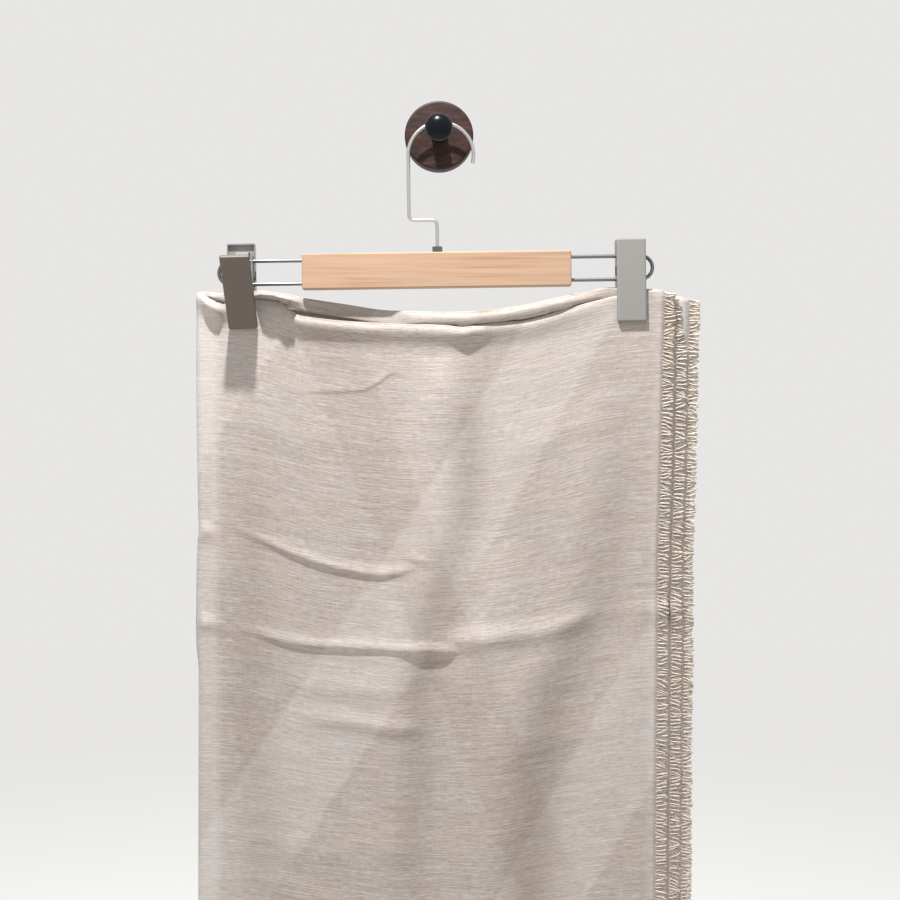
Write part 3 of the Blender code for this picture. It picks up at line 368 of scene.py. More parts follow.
# Wood: (place, colour on a screen) stops along the grain's noise, and its repeats per metre
MAPLE_STOPS = ((0.30, (149, 115, 90)), (0.46, (166, 136, 112)), (0.70, (173, 145, 121)))
MAPLE_REPEATS = (9.0, 330.0, 330.0)
WALNUT_STOPS = ((0.35, (24, 11, 8)), (0.55, (47, 24, 18)), (0.75, (72, 41, 30)))
WALNUT_REPEATS = (90.0, 300.0, 420.0)
GLOSS_REPEATS = 900.0
GLOSS_UNEVEN = 0.06

# Hanger and peg, as in the solids
HANGER_PLACE = Matrix.Translation((0.0, -0.0245, 0.0)) @ Matrix.Rotation(math.radians(-0.8), 4, "Y")
WIRE_RADIUS = 0.0014
WIRE_SIDES = 16
WIRE_SHARP = math.radians(50.0)
BAR_TOP = -0.0911
BAR_MIDDLE = -0.1046
RAIL_SPACING = 0.0176
RAIL_LEFT = -0.1686
RAIL_RIGHT = 0.1608
RAIL_END_STEPS = 24
HOOK_ARC_RADIUS = 0.02485
HOOK_ARC_ACROSS = 0.0012
HOOK_ARC_STEPS = 56
HOOK_END_ANGLE = math.radians(-15.0)
HOOK_STEM_ACROSS = -0.0024
HOOK_SHELF_HEIGHT = -0.0664
HOOK_BEND = 0.0040
HOOK_BEND_STEPS = 8
HOOK_STEM_END = -0.0935
SEAM_GAP = 0.0003
NUT_RADIUS = 0.0041
NUT_HOLE = 0.0021
NUT_HEIGHT = 0.0042
NUT_EDGE = 0.0005
NUT_SIDES = 6
NUT_TURN = 0.35
DISC_RADIUS = 0.0264
DISC_THICKNESS = 0.0150
DISC_ROUND = 0.0018
DISC_ROUND_STEPS = 8
PIN_RADIUS = 0.0061
KNOB_RADIUS = 0.0105
KNOB_HALF_DEPTH = 0.0075
KNOB_CENTRE = 0.0460
KNOB_STEPS = 28
TURNED_STEPS = 96
TURNED_SHARP = math.radians(40.0)
MERGE_DISTANCE = 0.00002

# Studio: the key light's direction of travel, the spot beside the left clip that it aims at and how
# far off it stands, the soft light from all round, the floor, and the camera
KEY_TRAVEL = Vector((0.0060, 0.0460, -0.1080)).normalized()
KEY_TARGET = Vector((-0.0850, -0.0280, -0.1500))
KEY_DISTANCE = 1.00
KEY_SIZE = 0.044
KEY_POWER = 26.0
SKY_COLOUR = (1.0, 0.99, 0.98, 1.0)
SKY_STRENGTH = 0.80
FLOOR_HEIGHT = -1.10
FLOOR_REACH = 9.0
FLOOR_COLOUR = (244, 244, 242)
FLOOR_FADE = (1.5, 4.5)
CAMERA_PLACE = (0.0046, -1.1000, -0.2108)
CAMERA_LENS = 56.6
SENSOR_WIDTH = 36.0
PICTURE_SIZE = 900
SHIFT_RIGHT = 5
SHIFT_DOWN = 40


def smooth_curve(points):
    """A function on arrays that runs smoothly through (place, value) points and is flat beyond them."""
    places, values = np.array(points, float).T
    runs = np.diff(places)
    slopes = np.diff(values) / runs
    before = slopes[:-1]
    after = slopes[1:]
    total = before + after
    same_way = before * after > 0.0
    tangents = np.zeros(len(places))
    tangents[1:-1][same_way] = 2.0 * (before * after)[same_way] / total[same_way]

    def value_at(place):
        place = np.clip(place, places[0], places[-1])
        index = np.clip(np.searchsorted(places, place, side="right") - 1, 0, len(runs) - 1)
        run = runs[index]
        part = (place - places[index]) / run
        start_weight = (1.0 + 2.0 * part) * (1.0 - part) ** 2
        end_weight = part ** 2 * (3.0 - 2.0 * part)
        turn = part * (1.0 - part) ** 2 * tangents[index] + part ** 2 * (part - 1.0) * tangents[index + 1]
        return start_weight * values[index] + end_weight * values[index + 1] + run * turn

    return value_at


def ridge_curves(ridge):
    """A ridge's height and depth as smooth functions of the place across."""
    return [smooth_curve([(row[0], row[column]) for row in ridge]) for column in (1, 2)]


def smooth_step(part):
    """0 before the start, 1 after the end, and an even ramp between."""
    part = np.clip(part, 0.0, 1.0)
    return part * part * (3.0 - 2.0 * part)


def soft_least(one, other, softness=0.0003):
    """The lesser of two depths, rounded where they cross."""
    return np.minimum(one, other) - softness * np.log1p(np.exp(-np.abs(one - other) / softness))


front_ridge_height, front_ridge_depth = ridge_curves(FRONT_RIDGE)
rear_ridge_height, rear_ridge_depth = ridge_curves(REAR_RIDGE)
fold_line = smooth_curve(FOLD_LINE)
right_edge = smooth_curve(RIGHT_EDGE)
wave_paths = [smooth_curve(wave["path"]) for wave in WAVES]
sag_line = smooth_curve(SAG_LINE)
shading_streak_paths = [smooth_curve(streak["path"]) for streak in PAINTED_SHADING_STREAKS]
shading_streak_strengths = [smooth_curve(streak["strength"]) for streak in PAINTED_SHADING_STREAKS]


def crease_curves(creases):
    """Each crease's line and rise as smooth functions of the place across, and its reaches."""
    return [(smooth_curve(crease["line"]), smooth_curve(crease["rise"]), crease["above"], crease["below"])
            for crease in creases]


front_crease_curves = crease_curves(FRONT_CREASES)
rear_crease_curves = crease_curves(REAR_CREASES)
front_fold_curves = crease_curves(FRONT_FOLDS)
rear_fold_curves = crease_curves(REAR_FOLDS)


def lip_share(below, tail):
    """Share of the lip's reach at a distance below the ridge's top: rounded, most a little below it."""
    offset = below - LIP_DROP
    return np.exp(-(offset / np.where(offset < 0.0, LIP_ABOVE, tail)) ** 2)


def lean_share(below):
    """Share left, at a distance below its top, of how far a ridge is set back."""
    return np.exp(-(below / LEAN_LENGTH) ** 2)


def wave_depth(across, height):
    """How far the soft upright waves push the cloth forward; they die out at the right edge."""
    below = RIDGE_HEIGHT_LEFT - height
    strength = 1.0 - smooth_step((across - EDGE_CALM_START) / EDGE_CALM_WIDTH)
    total = 0.0
    for wave, path in zip(WAVES, wave_paths):
        growth = smooth_step((below - wave["starts"]) / wave["grows"])
        offset = across - path(height)
        crest = np.exp(-(offset / wave["width"]) ** 2)
        trough = np.exp(-((offset - wave["trough"]) / wave["width"]) ** 2)
        total = total + growth * wave["rise"] * (crest - TROUGH_SHARE * trough)
    return strength * total


def crease_depth(curves, across, height):
    """How far the creases push the cloth out; each is steeper below its ridge than above."""
    total = 0.0
    for line, rise, above, below in curves:
        offset = height - line(across)
        reach = np.where(offset > 0.0, above, below)
        total = total + rise(across) * np.exp(-(offset / reach) ** 2)
    return total


def fold_swell(across, height):
    """How much each panel stands off its middle beside the left fold."""
    return FOLD_SWELL * np.exp(-((across - fold_line(height)) / FOLD_SWELL_WIDTH) ** 2)


def hang_of_front(across, height):
    """Depth of the front ply's middle without creases or the swell at the fold."""
    below = front_ridge_height(across) - height
    reach = front_ridge_depth(across) - FRONT_DEPTH
    return FRONT_DEPTH + reach * lip_share(below, LIP_BELOW) + wave_depth(across, height)


def front_depth(across, height, creased=True):
    """Depth of the front ply's middle."""
    depth = hang_of_front(across, height) + fold_swell(across, height)
    if not creased:
        return depth
    return depth + crease_depth(front_crease_curves + front_fold_curves, across, height)


def rear_depth(across, height, creased=True):
    """Depth of the rear ply's middle; below the front ridge it keeps room for the plies in front."""
    below = rear_ridge_height(across) - height
    reach = rear_ridge_depth(across) - REAR_DEPTH
    share = np.where(reach > 0.0, lip_share(below, REAR_LIP_BELOW), lean_share(below))
    own = REAR_DEPTH + reach * share + wave_depth(across, height)
    puff = PUFF_ROOM * smooth_step((height - front_ridge_height(across)) / PUFF_RISE)
    depth = soft_least(own, hang_of_front(across, height) - BUNDLE + puff) - fold_swell(across, height)
    if not creased:
        return depth
    return depth + crease_depth(rear_crease_curves + rear_fold_curves, across, height)


def nose_across(height):
    """Where the front ply starts to turn round the left fold."""
    return fold_line(height) + FOLD_NOSE


def inner_drop(across):
    """How far the inner front ply ends below the front ridge; at the right edge it comes up to it."""
    rise = smooth_step((across - INNER_RISE_START) / INNER_RISE_WIDTH)
    return INNER_DROP - (INNER_DROP - ROLL_RADIUS) * rise


def edge_across(height, step):
    """Where a ply's own cloth ends at the right; the inner front ply comes out from under the first."""
    growth = smooth_step((RIDGE_HEIGHT_LEFT - height) / STEP_GROWTH)
    if step == EDGE_STEP_FRONT_INNER:
        step = step * (STEP_SHARE_AT_TOP + (1.0 - STEP_SHARE_AT_TOP) * growth)
    return right_edge(height) + step


def panel_across(share, height, step):
    """Place across of a column: share 0 at the nose, 1 at the panel's right end."""
    left = nose_across(height)
    return left + share * (edge_across(height, step) - left)


def row_drops(ridge, curves, guide, hem):
    """Heights of one column's rows from ridge to hem, closest where the creases cross."""
    shares = np.linspace(0.0, 1.0, RIDGE_ROWS) ** RIDGE_CROWDING
    rows = list(ridge - ROLL_RADIUS - (RIDGE_STRETCH - ROLL_RADIUS) * shares)
    for (line, _, _, _), count in zip(curves, ROWS_BETWEEN):
        band = float(line(guide)) + CREASE_OFFSETS
        rows += list(np.linspace(rows[-1], band[0], count + 2)[1:-1])
        rows += list(band)
    rows += list(np.linspace(rows[-1], hem, HEM_ROWS + 1)[1:])
    return np.array(rows)


def wrap_columns(front_count, nose_steps, rear_count):
    """Columns from the right edge in front round to the right edge behind: kind, share, turn."""
    columns = [("front", 1.0 - step / front_count, 0.0) for step in range(front_count + 1)]
    columns += [("nose", 0.0, step / nose_steps) for step in range(1, nose_steps)]
    columns += [("rear", step / rear_count, 1.0) for step in range(rear_count + 1)]
    return columns


def outer_points():
    """The outer wrap's grid: front ply from its right edge, round the nose, rear ply."""
    grid = []
    for kind, share, turn in wrap_columns(FRONT_COLUMNS, NOSE_STEPS, REAR_COLUMNS):
        step = EDGE_STEP_REAR if kind == "rear" else EDGE_STEP_FRONT
        guide = float(panel_across(share, RIDGE_HEIGHT_LEFT, step))
        front_ridge = float(front_ridge_height(guide))
        rear_ridge = float(rear_ridge_height(guide))
        ridge = (1.0 - turn) * front_ridge + turn * rear_ridge
        front_rows = row_drops(front_ridge, front_crease_curves, guide, HEM_FRONT + FRINGE_ROOM)
        rear_rows = row_drops(rear_ridge, rear_crease_curves, guide, HEM_REAR + FRINGE_ROOM)
        rows = (1.0 - turn) * front_rows + turn * rear_rows
        angles = math.pi * np.arange(ROLL_STEPS) / ROLL_STEPS
        roll_heights = ridge - ROLL_RADIUS + ROLL_RADIUS * np.sin(angles)
        flap = rows[TURN_ROWS:0:-1]
        height = np.concatenate((flap, roll_heights, rows))
        level = np.concatenate((flap, np.full(ROLL_STEPS, ridge - ROLL_RADIUS), rows))
        inward = np.concatenate((
            np.full(TURN_ROWS, 2.0 * ROLL_RADIUS), ROLL_RADIUS * (1.0 + np.cos(angles)), np.zeros(len(rows))))
        across = nose_across(level) if kind == "nose" else panel_across(share, level, step)
        front = front_depth(across, level)
        rear = rear_depth(across, level)
        depth = {"front": front - inward, "rear": rear + inward, "nose": (front + rear) / 2.0}[kind]
        if kind == "nose":
            depth = depth + ((front - rear) / 2.0 - inward) * math.cos(math.pi * turn)
            across = across - (FOLD_NOSE - inward) * math.sin(math.pi * turn)
        grid.append(np.stack((across, -depth, height), axis=-1))
    return np.array(grid)


def inner_points():
    """The inner wrap's grid: front inner ply, round the nose, rear inner ply."""
    middle = INNER_OFFSET + SOLID_WALL / 2.0
    grid = []
    for kind, share, turn in wrap_columns(INNER_COLUMNS, INNER_NOSE_STEPS, INNER_COLUMNS):
        step = EDGE_STEP_REAR_INNER if kind == "rear" else EDGE_STEP_FRONT_INNER
        guide = float(panel_across(share, RIDGE_HEIGHT_LEFT, step))
        hem = (1.0 - turn) * HEM_FRONT_INNER + turn * HEM_REAR_INNER + FRINGE_ROOM
        top = float(front_ridge_height(guide)) - (1.0 - turn) * inner_drop(guide)
        height = top + (hem - top) * np.linspace(0.0, 1.0, INNER_ROWS + 1) ** INNER_CROWDING
        across = nose_across(height) if kind == "nose" else panel_across(share, height, step)
        front = front_depth(across, height, creased=False) - middle
        rear = rear_depth(across, height, creased=False) + middle
        depth = {"front": front, "rear": rear, "nose": (front + rear) / 2.0}[kind]
        if kind == "nose":
            depth = depth + (front - rear) / 2.0 * math.cos(math.pi * turn)
            across = across - (FOLD_NOSE - middle) * math.sin(math.pi * turn)
        grid.append(np.stack((across, -depth, height), axis=-1))
    return np.array(grid)


def add_piece(name, data, material):
    """A named object that rides on the body and takes the material it is given."""
    data.materials.append(material)
    thing = bpy.data.objects.new(name, data)
    bpy.context.scene.collection.objects.link(thing)
    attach(thing, "root")
    return thing


def mesh_from_arrays(name, points, faces):
    """A smooth mesh data block from an array of points and a list of faces."""
    data = bpy.data.meshes.new(name)
    data.from_pydata(points.reshape(-1, 3).tolist(), [], faces)
    data.update()
    data.shade_smooth()
    return data


def grid_faces(columns, rows):
    """Four-cornered faces of a grid of points stored column by column."""
    column, row = np.meshgrid(np.arange(columns - 1), np.arange(rows - 1), indexing="ij")
    corner = column * rows + row
    return np.stack((corner, corner + rows, corner + rows + 1, corner + 1), axis=-1).reshape(-1, 4)


def weft_sag(across, height):
    """How far a weft thread hangs below its ends; the sag is the ridge's at the top and fades out."""
    fade = smooth_step((height - SAG_FOOT) / (RIDGE_HEIGHT_LEFT - SAG_FOOT))
    return fade * (RIDGE_HEIGHT_LEFT - sag_line(across))


def cloth_places(grid):
    """Each point's place on the flat cloth: distance round the wrap, and height along the warp."""
    steps = np.linalg.norm(np.diff(grid, axis=0), axis=-1)
    typical = np.median(steps, axis=1)
    along = np.concatenate(([0.0], np.cumsum(typical)))
    height = grid[..., 2] + weft_sag(grid[..., 0], grid[..., 2])
    return np.stack(np.broadcast_arrays(along[:, None], height), axis=-1).reshape(-1, 2)


def painted_shading(grid):
    """Each point's painted light and shade: above 1 where light is painted on, below 1 and a little browner
    where shade is painted on.
    """
    across, height = grid[..., 0], grid[..., 2]
    change = np.zeros(grid.shape[:2])
    for streak, path, strength in zip(PAINTED_SHADING_STREAKS, shading_streak_paths, shading_streak_strengths):
        change += strength(height) * np.exp(-((across - path(height)) / streak["width"]) ** 2)
    red = 1.0 + PAINTED_SHADING_RED_SHARE * change
    blue = 1.0 + PAINTED_SHADING_BLUE_SHARE * change
    return np.stack((red, 1.0 + change, blue, np.ones_like(change)), axis=-1)


def add_sheet(name, grid, material):
    """A thin closed shell of cloth on a grid of points, with the flat cloth's places as its UV map."""
    data = mesh_from_arrays(name, grid, grid_faces(*grid.shape[:2]).tolist())
    corners = np.zeros(len(data.loops), np.int32)
    data.loops.foreach_get("vertex_index", corners)
    layer = data.uv_layers.new(name="cloth")
    layer.data.foreach_set("uv", cloth_places(grid)[corners].astype(np.float32).ravel())
    # The streaks' painted light and shade, kept on each point for the cloth's colour
    shading_tone = data.attributes.new("painted_shading", "FLOAT_COLOR", "POINT")
    shading_tone.data.foreach_set("color", painted_shading(grid).astype(np.float32).ravel())
    thing = add_piece(name, data, material)
    wall = thing.modifiers.new("Wall", "SOLIDIFY")
    wall.thickness = CLOTH_WALL
    wall.offset = 0.0
    return thing


def tubes(paths, radii, sides=3, closed=False):
    """Tubes along many paths at once, capped unless their paths close: points and faces."""
    count, steps = paths.shape[:2]
    if closed:
        ahead = np.roll(paths, -1, axis=1) - np.roll(paths, 1, axis=1)
    else:
        ahead = np.gradient(paths, axis=1)
    ahead /= np.linalg.norm(ahead, axis=-1, keepdims=True)
    reference = np.where(np.abs(ahead[..., 1:2]) > 0.9, [[[1.0, 0.0, 0.0]]], [[[0.0, 1.0, 0.0]]])
    side = np.cross(ahead, reference)
    side /= np.linalg.norm(side, axis=-1, keepdims=True)
    up = np.cross(side, ahead)
    turns = 2.0 * math.pi * np.arange(sides) / sides
    ring = side[:, :, None] * np.cos(turns)[:, None] + up[:, :, None] * np.sin(turns)[:, None]
    points = paths[:, :, None] + ring * radii[:, :, None, None]
    runs = steps if closed else steps - 1
    tube, step, corner = np.meshgrid(np.arange(count), np.arange(runs), np.arange(sides), indexing="ij")
    this_ring = (tube * steps + step) * sides
    next_ring = (tube * steps + (step + 1) % steps) * sides
    after = (corner + 1) % sides
    walls = np.stack((this_ring + after, this_ring + corner, next_ring + corner, next_ring + after), axis=-1)
    faces = walls.reshape(-1, 4).tolist()
    if not closed:
        root = np.arange(count)[:, None] * steps * sides
        faces += (root + np.arange(sides)).tolist()
        faces += (root + (steps - 1) * sides + np.arange(sides)[::-1]).tolist()
    return points.reshape(-1, 3), faces


def wander(dice, tufts, course):
    """A random course over a row of tufts: smooth waves a few tufts long, and each tuft's own part."""
    place = np.arange(tufts)
    waves = np.zeros(tufts)
    for span in course["spans"]:
        waves += np.sin(2.0 * math.pi * (place / (span * dice.uniform(0.85, 1.15)) + dice.uniform()))
    own = dice.normal(course["mean"], course["spread"], tufts)
    return course["strength"] * (waves / math.sqrt(len(course["spans"]))) + own


def tuft_paths(dice, tufts, pitch):
    """Each yarn's path beside a raw edge, as rows of (along, outward, lift), tuft by tuft.

    Every other tuft lies behind its neighbours, with its yarns side by side.
    """
    behind = np.arange(tufts) % 2
    root = (np.arange(tufts) + 0.5 + dice.uniform(-TUFT_UNEVEN, TUFT_UNEVEN, tufts)) * pitch
    start_angle, curl, lift = [wander(dice, tufts, course) for course in TUFT_COURSES.values()]
    reach = TUFT_LENGTH * dice.uniform(*TUFT_LENGTH_RANGE, tufts) * (1.0 - BACK_TUFT_SHORTER * behind)
    share = np.linspace(0.0, 1.0, YARN_STEPS + 1)
    angle = start_angle[:, None] + curl[:, None] * share
    step_length = (reach / YARN_STEPS)[:, None]
    sideways = np.sin(angle) * step_length
    straight = np.cos(angle) * step_length
    along = root[:, None] + np.cumsum(sideways, axis=1) - sideways[:, :1]
    outward = np.cumsum(straight, axis=1) - straight[:, :1]
    gather = smooth_step(share / GATHER_SHARE)
    raised = lift[:, None] * outward * share - TUFT_SET_BACK * behind[:, None] * gather
    gathered = gather * (1.0 - behind[:, None])
    paths = []
    for yarn in range(YARNS_IN_TUFT):
        spread = (yarn / (YARNS_IN_TUFT - 1) - 0.5) * pitch * ROOT_SPREAD
        first_turn = 2.0 * math.pi * yarn / YARNS_IN_TUFT + dice.uniform(*YARN_TURN_RANGE, tufts)[:, None]
        turn = first_turn + YARN_TWIST * share
        width = dice.uniform(*YARN_SPREAD_RANGE, tufts)[:, None]
        radius = (TUFT_RADIUS + TUFT_SPREAD * share ** 2) * width
        trimmed = 1.0 - dice.uniform(0.0, YARN_TRIM, tufts)[:, None]
        paths.append(np.stack((
            along + spread * (1.0 - gathered) + radius * np.cos(turn) * gathered,
            outward * trimmed - ROOT_DEPTH,
            raised + radius * np.sin(turn) * gathered,
        ), axis=-1))
    return np.stack(paths, axis=1).reshape(tufts * YARNS_IN_TUFT, YARN_STEPS + 1, 3)


def make_fringe(name, length, place, material, seed):
    """Frayed tufts along a raw edge; place turns (along, outward, lift) into a point."""
    tufts = 2 * int(length / TUFT_PITCH)
    paths = tuft_paths(np.random.default_rng(seed), tufts, length / tufts)
    world = np.stack(place(*paths.reshape(-1, 3).T), axis=-1).reshape(paths.shape)
    points, faces = tubes(world, np.full(world.shape[:2], YARN_RADIUS))
    thing = add_piece(name, mesh_from_arrays(name, points, faces), material)
    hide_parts(name.replace("tufts", "fringe"))
    return thing


def make_fringes(material):
    """Fringe down the right edge and along the hem of each of the four plies."""
    middle = INNER_OFFSET + SOLID_WALL / 2.0
    plies = (
        ("front", EDGE_STEP_FRONT, HEM_FRONT, front_depth, 0.0),
        ("front_inner", EDGE_STEP_FRONT_INNER, HEM_FRONT_INNER, front_depth, -middle),
        ("rear_inner", EDGE_STEP_REAR_INNER, HEM_REAR_INNER, rear_depth, middle),
        ("rear", EDGE_STEP_REAR, HEM_REAR, rear_depth, 0.0),
    )
    made = {}
    for number, (ply, step, hem, depth_at, offset) in enumerate(plies):
        ridge_height = front_ridge_height if ply.startswith("front") else rear_ridge_height
        top = float(ridge_height(RIGHT_EDGE[-1][1] + step)) - ROLL_RADIUS

        def beside(along, outward, across_wall, top=top, step=step, depth_at=depth_at, offset=offset):
            height = top - along
            edge = edge_across(height, step)
            return edge + outward, -(depth_at(edge, height) + offset) - across_wall, height

        left = float(nose_across(hem))
        width = float(edge_across(hem, step)) - left

        def below(along, outward, across_wall, left=left, hem=hem, depth_at=depth_at, offset=offset):
            across = left + along
            return across, -(depth_at(across, hem) + offset) - across_wall, hem + FRINGE_ROOM - outward

        side = make_fringe("tufts_side_" + ply, top - hem, beside, material, number)
        end = make_fringe("tufts_hem_" + ply, width, below, material, 10 + number)
        made[ply] = [side, end]
    return made


def to_linear(colour):
    """A screen colour, 0 to 255, as linear values."""
    return [((value / 255.0 + 0.055) / 1.055) ** 2.4 for value in colour]


class Nodes:
    """A short way to build a material's nodes."""

    def __init__(self, name):
        self.material = bpy.data.materials.new(name)
        self.material.use_nodes = True
        self.tree = self.material.node_tree
        self.shader = self.tree.nodes["Principled BSDF"]

    def add(self, kind, values=None, **settings):
        """A node with its settings; values maps an input's name or number to a number or a link."""
        node = self.tree.nodes.new("ShaderNode" + kind)
        for key, value in settings.items():
            setattr(node, key, value)
        for key, value in (values or {}).items():
            self.put(node.inputs[key], value)
        return node

    def put(self, socket, value):
        """Link or set one input."""
        if isinstance(value, bpy.types.NodeSocket):
            self.tree.links.new(value, socket)
        else:
            socket.default_value = value

    def math(self, operation, one, other=0.0):
        """One sum on two numbers or links."""
        return self.add("Math", {0: one, 1: other}, operation=operation).outputs[0]

    def remap(self, value, start, end, at_start, at_end, **settings):
        """A value that runs from one number to another while the given one runs from start to end."""
        inputs = {0: value, 1: start, 2: end, 3: at_start, 4: at_end}
        return self.add("MapRange", inputs, **settings).outputs[0]

    def ramp(self, factor, stops):
        """A colour ramp from (place, linear colour) stops."""
        node = self.add("ValToRGB", {0: factor})
        while len(node.color_ramp.elements) < len(stops):
            node.color_ramp.elements.new(0.5)
        for element, (place, colour) in zip(node.color_ramp.elements, stops):
            element.position = place
            element.color = (*colour, 1.0)
        return node.outputs[0]

    def screen_ramp(self, factor, stops):
        """A colour ramp from (place, colour on a screen) stops."""
        return self.ramp(factor, [(place, to_linear(colour)) for place, colour in stops])

    def noise(self, vector, scale, detail, roughness=0.5):
        """Soft noise between 0 and 1."""
        inputs = {"Vector": vector, "Scale": scale, "Detail": detail, "Roughness": roughness}
        return self.add("TexNoise", inputs).outputs[0]

    def mix(self, factor, one, other, blend="MIX"):
        """A mix of two colours."""
        inputs = {0: factor, 6: one, 7: other}
        return self.add("Mix", inputs, data_type="RGBA", blend_type=blend).outputs[2]

    def stretched(self, vector, factors):
        """A place scaled by three factors."""
        return self.add("Mapping", {"Vector": vector, "Scale": factors}).outputs[0]

    def bump(self, height, distance, strength):
        """A bump of real depth."""
        return self.add("Bump", {"Height": height, "Distance": distance, "Strength": strength}).outputs[0]


def slanted_bands(nodes, along, height, bands, ragged):
    """Mask of broad straight bands across the cloth: 1 in a band, 0 between."""
    along_part = nodes.math("MULTIPLY", along, bands["slope"][0])
    place = nodes.math("ADD", along_part, nodes.math("MULTIPLY", height, bands["slope"][1]))
    place = nodes.math("ADD", place, nodes.math("MULTIPLY", ragged, BAND_RAGGED))
    swing = nodes.math("PINGPONG", place, bands["period"] / 2.0)
    return nodes.remap(swing, bands["width"] / 2.0 + BAND_SOFT, bands["width"] / 2.0, 0.0, 1.0)


def yarn_noises(nodes, place):
    """The noise of each layer of yarns, by the layer's name."""
    noises = {}
    for name, layer in YARN_LAYERS.items():
        spot = nodes.stretched(place, layer["repeats"])
        noises[name] = nodes.noise(spot, 1.0, layer["detail"], layer["rough"])
    return noises


def add_yarns(nodes, total, noises, share):
    """A total with each yarn noise added by its share of the tone or of the relief."""
    for name, noise in noises.items():
        if YARN_LAYERS[name][share] > 0.0:
            total = nodes.math("ADD", total, nodes.math("MULTIPLY", noise, YARN_LAYERS[name][share]))
    return total


def cloth_pattern(nodes, colour, along, height, slubs):
    """The cloth's colour with its faint bands, the painted light of the border and of the fold strip, and the
    streaks' painted light and shade.
    """
    light_bands = slanted_bands(nodes, along, height, LIGHT_BANDS, slubs)
    warm_bands = slanted_bands(nodes, along, height, WARM_BANDS, slubs)
    colour = nodes.mix(nodes.math("MULTIPLY", light_bands, LIGHT_BANDS_WHITE), colour, WHITE)
    colour = nodes.mix(warm_bands, colour, nodes.mix(1.0, colour, WARM_BANDS_TINT, "MULTIPLY"))
    # Painted light: the right edges and a strip beside the left fold are mixed towards white
    from_fold = nodes.math("ABSOLUTE", nodes.math("SUBTRACT", along, FOLD_ALONG))
    painted_light = nodes.math("MAXIMUM", nodes.remap(from_fold, *PAINTED_EDGE_LIGHT), nodes.remap(from_fold, *PAINTED_FOLD_LIGHT))
    colour = nodes.mix(painted_light, colour, WHITE)
    # Multiplies in the streaks' painted light and shade
    shading_tone = nodes.add("Attribute", attribute_name="painted_shading").outputs["Color"]
    return nodes.mix(1.0, colour, shading_tone, "MULTIPLY")


def cloth_material(name, tones, by_uv=True):
    """Sheer plain weave: slubby weft in tan and cream, fine warp; by_uv adds the flat cloth's pattern."""
    nodes = Nodes(name)
    if by_uv:
        place = nodes.add("UVMap", uv_map="cloth").outputs[0]
        parts = nodes.add("SeparateXYZ", {0: place})
        along, height = parts.outputs[0], parts.outputs[1]
    else:
        parts = nodes.add("SeparateXYZ", {0: nodes.add("TexCoord").outputs["Object"]})
        along, height = parts.outputs[0], parts.outputs[2]
        place = nodes.add("CombineXYZ", {0: along, 1: height}).outputs[0]
    noises = yarn_noises(nodes, place)
    colour = nodes.screen_ramp(add_yarns(nodes, 0.0, noises, "tone"), list(zip(TONE_STOPS, tones)))
    patches = nodes.noise(nodes.stretched(place, PATCH_REPEATS), 1.0, 3.0)
    colour = nodes.mix(1.0, colour, nodes.ramp(patches, PATCH_TINTS), "MULTIPLY")
    if by_uv:
        colour = cloth_pattern(nodes, colour, along, height, noises["slubs"])
    nodes.put(nodes.shader.inputs["Base Color"], colour)
    nodes.shader.inputs["Roughness"].default_value = 0.9
    nodes.shader.inputs["Specular IOR Level"].default_value = 0.25
    nodes.shader.inputs["Sheen Weight"].default_value = 0.12
    nodes.shader.inputs["Sheen Roughness"].default_value = 0.5
    weave = nodes.math("MULTIPLY", nodes.math("SINE", nodes.math("MULTIPLY", along, WEAVE_TURNS)),
                       nodes.math("SINE", nodes.math("MULTIPLY", height, WEAVE_TURNS)))
    relief = add_yarns(nodes, nodes.math("MULTIPLY", weave, WEAVE_RELIEF), noises, "relief")
    strength = CLOTH_RELIEF if by_uv else FRINGE_RELIEF
    nodes.put(nodes.shader.inputs["Normal"], nodes.bump(relief, RELIEF_DEPTH, strength))
    return nodes.material


def plain_material(name, colour, roughness, metallic=0.0, specular=0.5):
    """A Principled material with one colour and a fine unevenness in its gloss."""
    nodes = Nodes(name)
    spot = nodes.add("TexCoord").outputs["Object"]
    fine = nodes.noise(spot, GLOSS_REPEATS, 3.0)
    nodes.shader.inputs["Base Color"].default_value = (*to_linear(colour), 1.0)
    nodes.shader.inputs["Metallic"].default_value = metallic
    nodes.shader.inputs["Specular IOR Level"].default_value = specular
    uneven = nodes.remap(fine, 0.0, 1.0, roughness - GLOSS_UNEVEN, roughness + GLOSS_UNEVEN)
    nodes.put(nodes.shader.inputs["Roughness"], uneven)
    return nodes.material


def wood_material(name, stops, repeats):
    """Wood with grain that runs along the axis of fewest repeats."""
    nodes = Nodes(name)
    spot = nodes.add("TexCoord").outputs["Object"]
    grain = nodes.noise(nodes.stretched(spot, repeats), 1.0, 5.0, 0.6)
    nodes.put(nodes.shader.inputs["Base Color"], nodes.screen_ramp(grain, stops))
    nodes.shader.inputs["Roughness"].default_value = 0.55
    nodes.shader.inputs["Specular IOR Level"].default_value = 0.30
    nodes.put(nodes.shader.inputs["Normal"], nodes.bump(grain, 0.0002, 0.3))
    return nodes.material


def rounded_path(corners, steps):
    """Points of a path with each corner (one, other, radius) turned into an arc."""
    points = [Vector(corners[0][:2])]
    for before, corner, after in zip(corners, corners[1:], corners[2:]):
        tip = Vector(corner[:2])
        back = (Vector(before[:2]) - tip).normalized()
        ahead = (Vector(after[:2]) - tip).normalized()
        half = back.angle(ahead) / 2.0
        centre = tip + (back + ahead).normalized() * (corner[2] / math.sin(half))
        run = corner[2] / math.tan(half)
        start = tip + back * run - centre
        end = tip + ahead * run - centre
        for step in range(steps + 1):
            points.append(centre + start.slerp(end, step / steps).normalized() * corner[2])
    points.append(Vector(corners[-1][:2]))
    return points


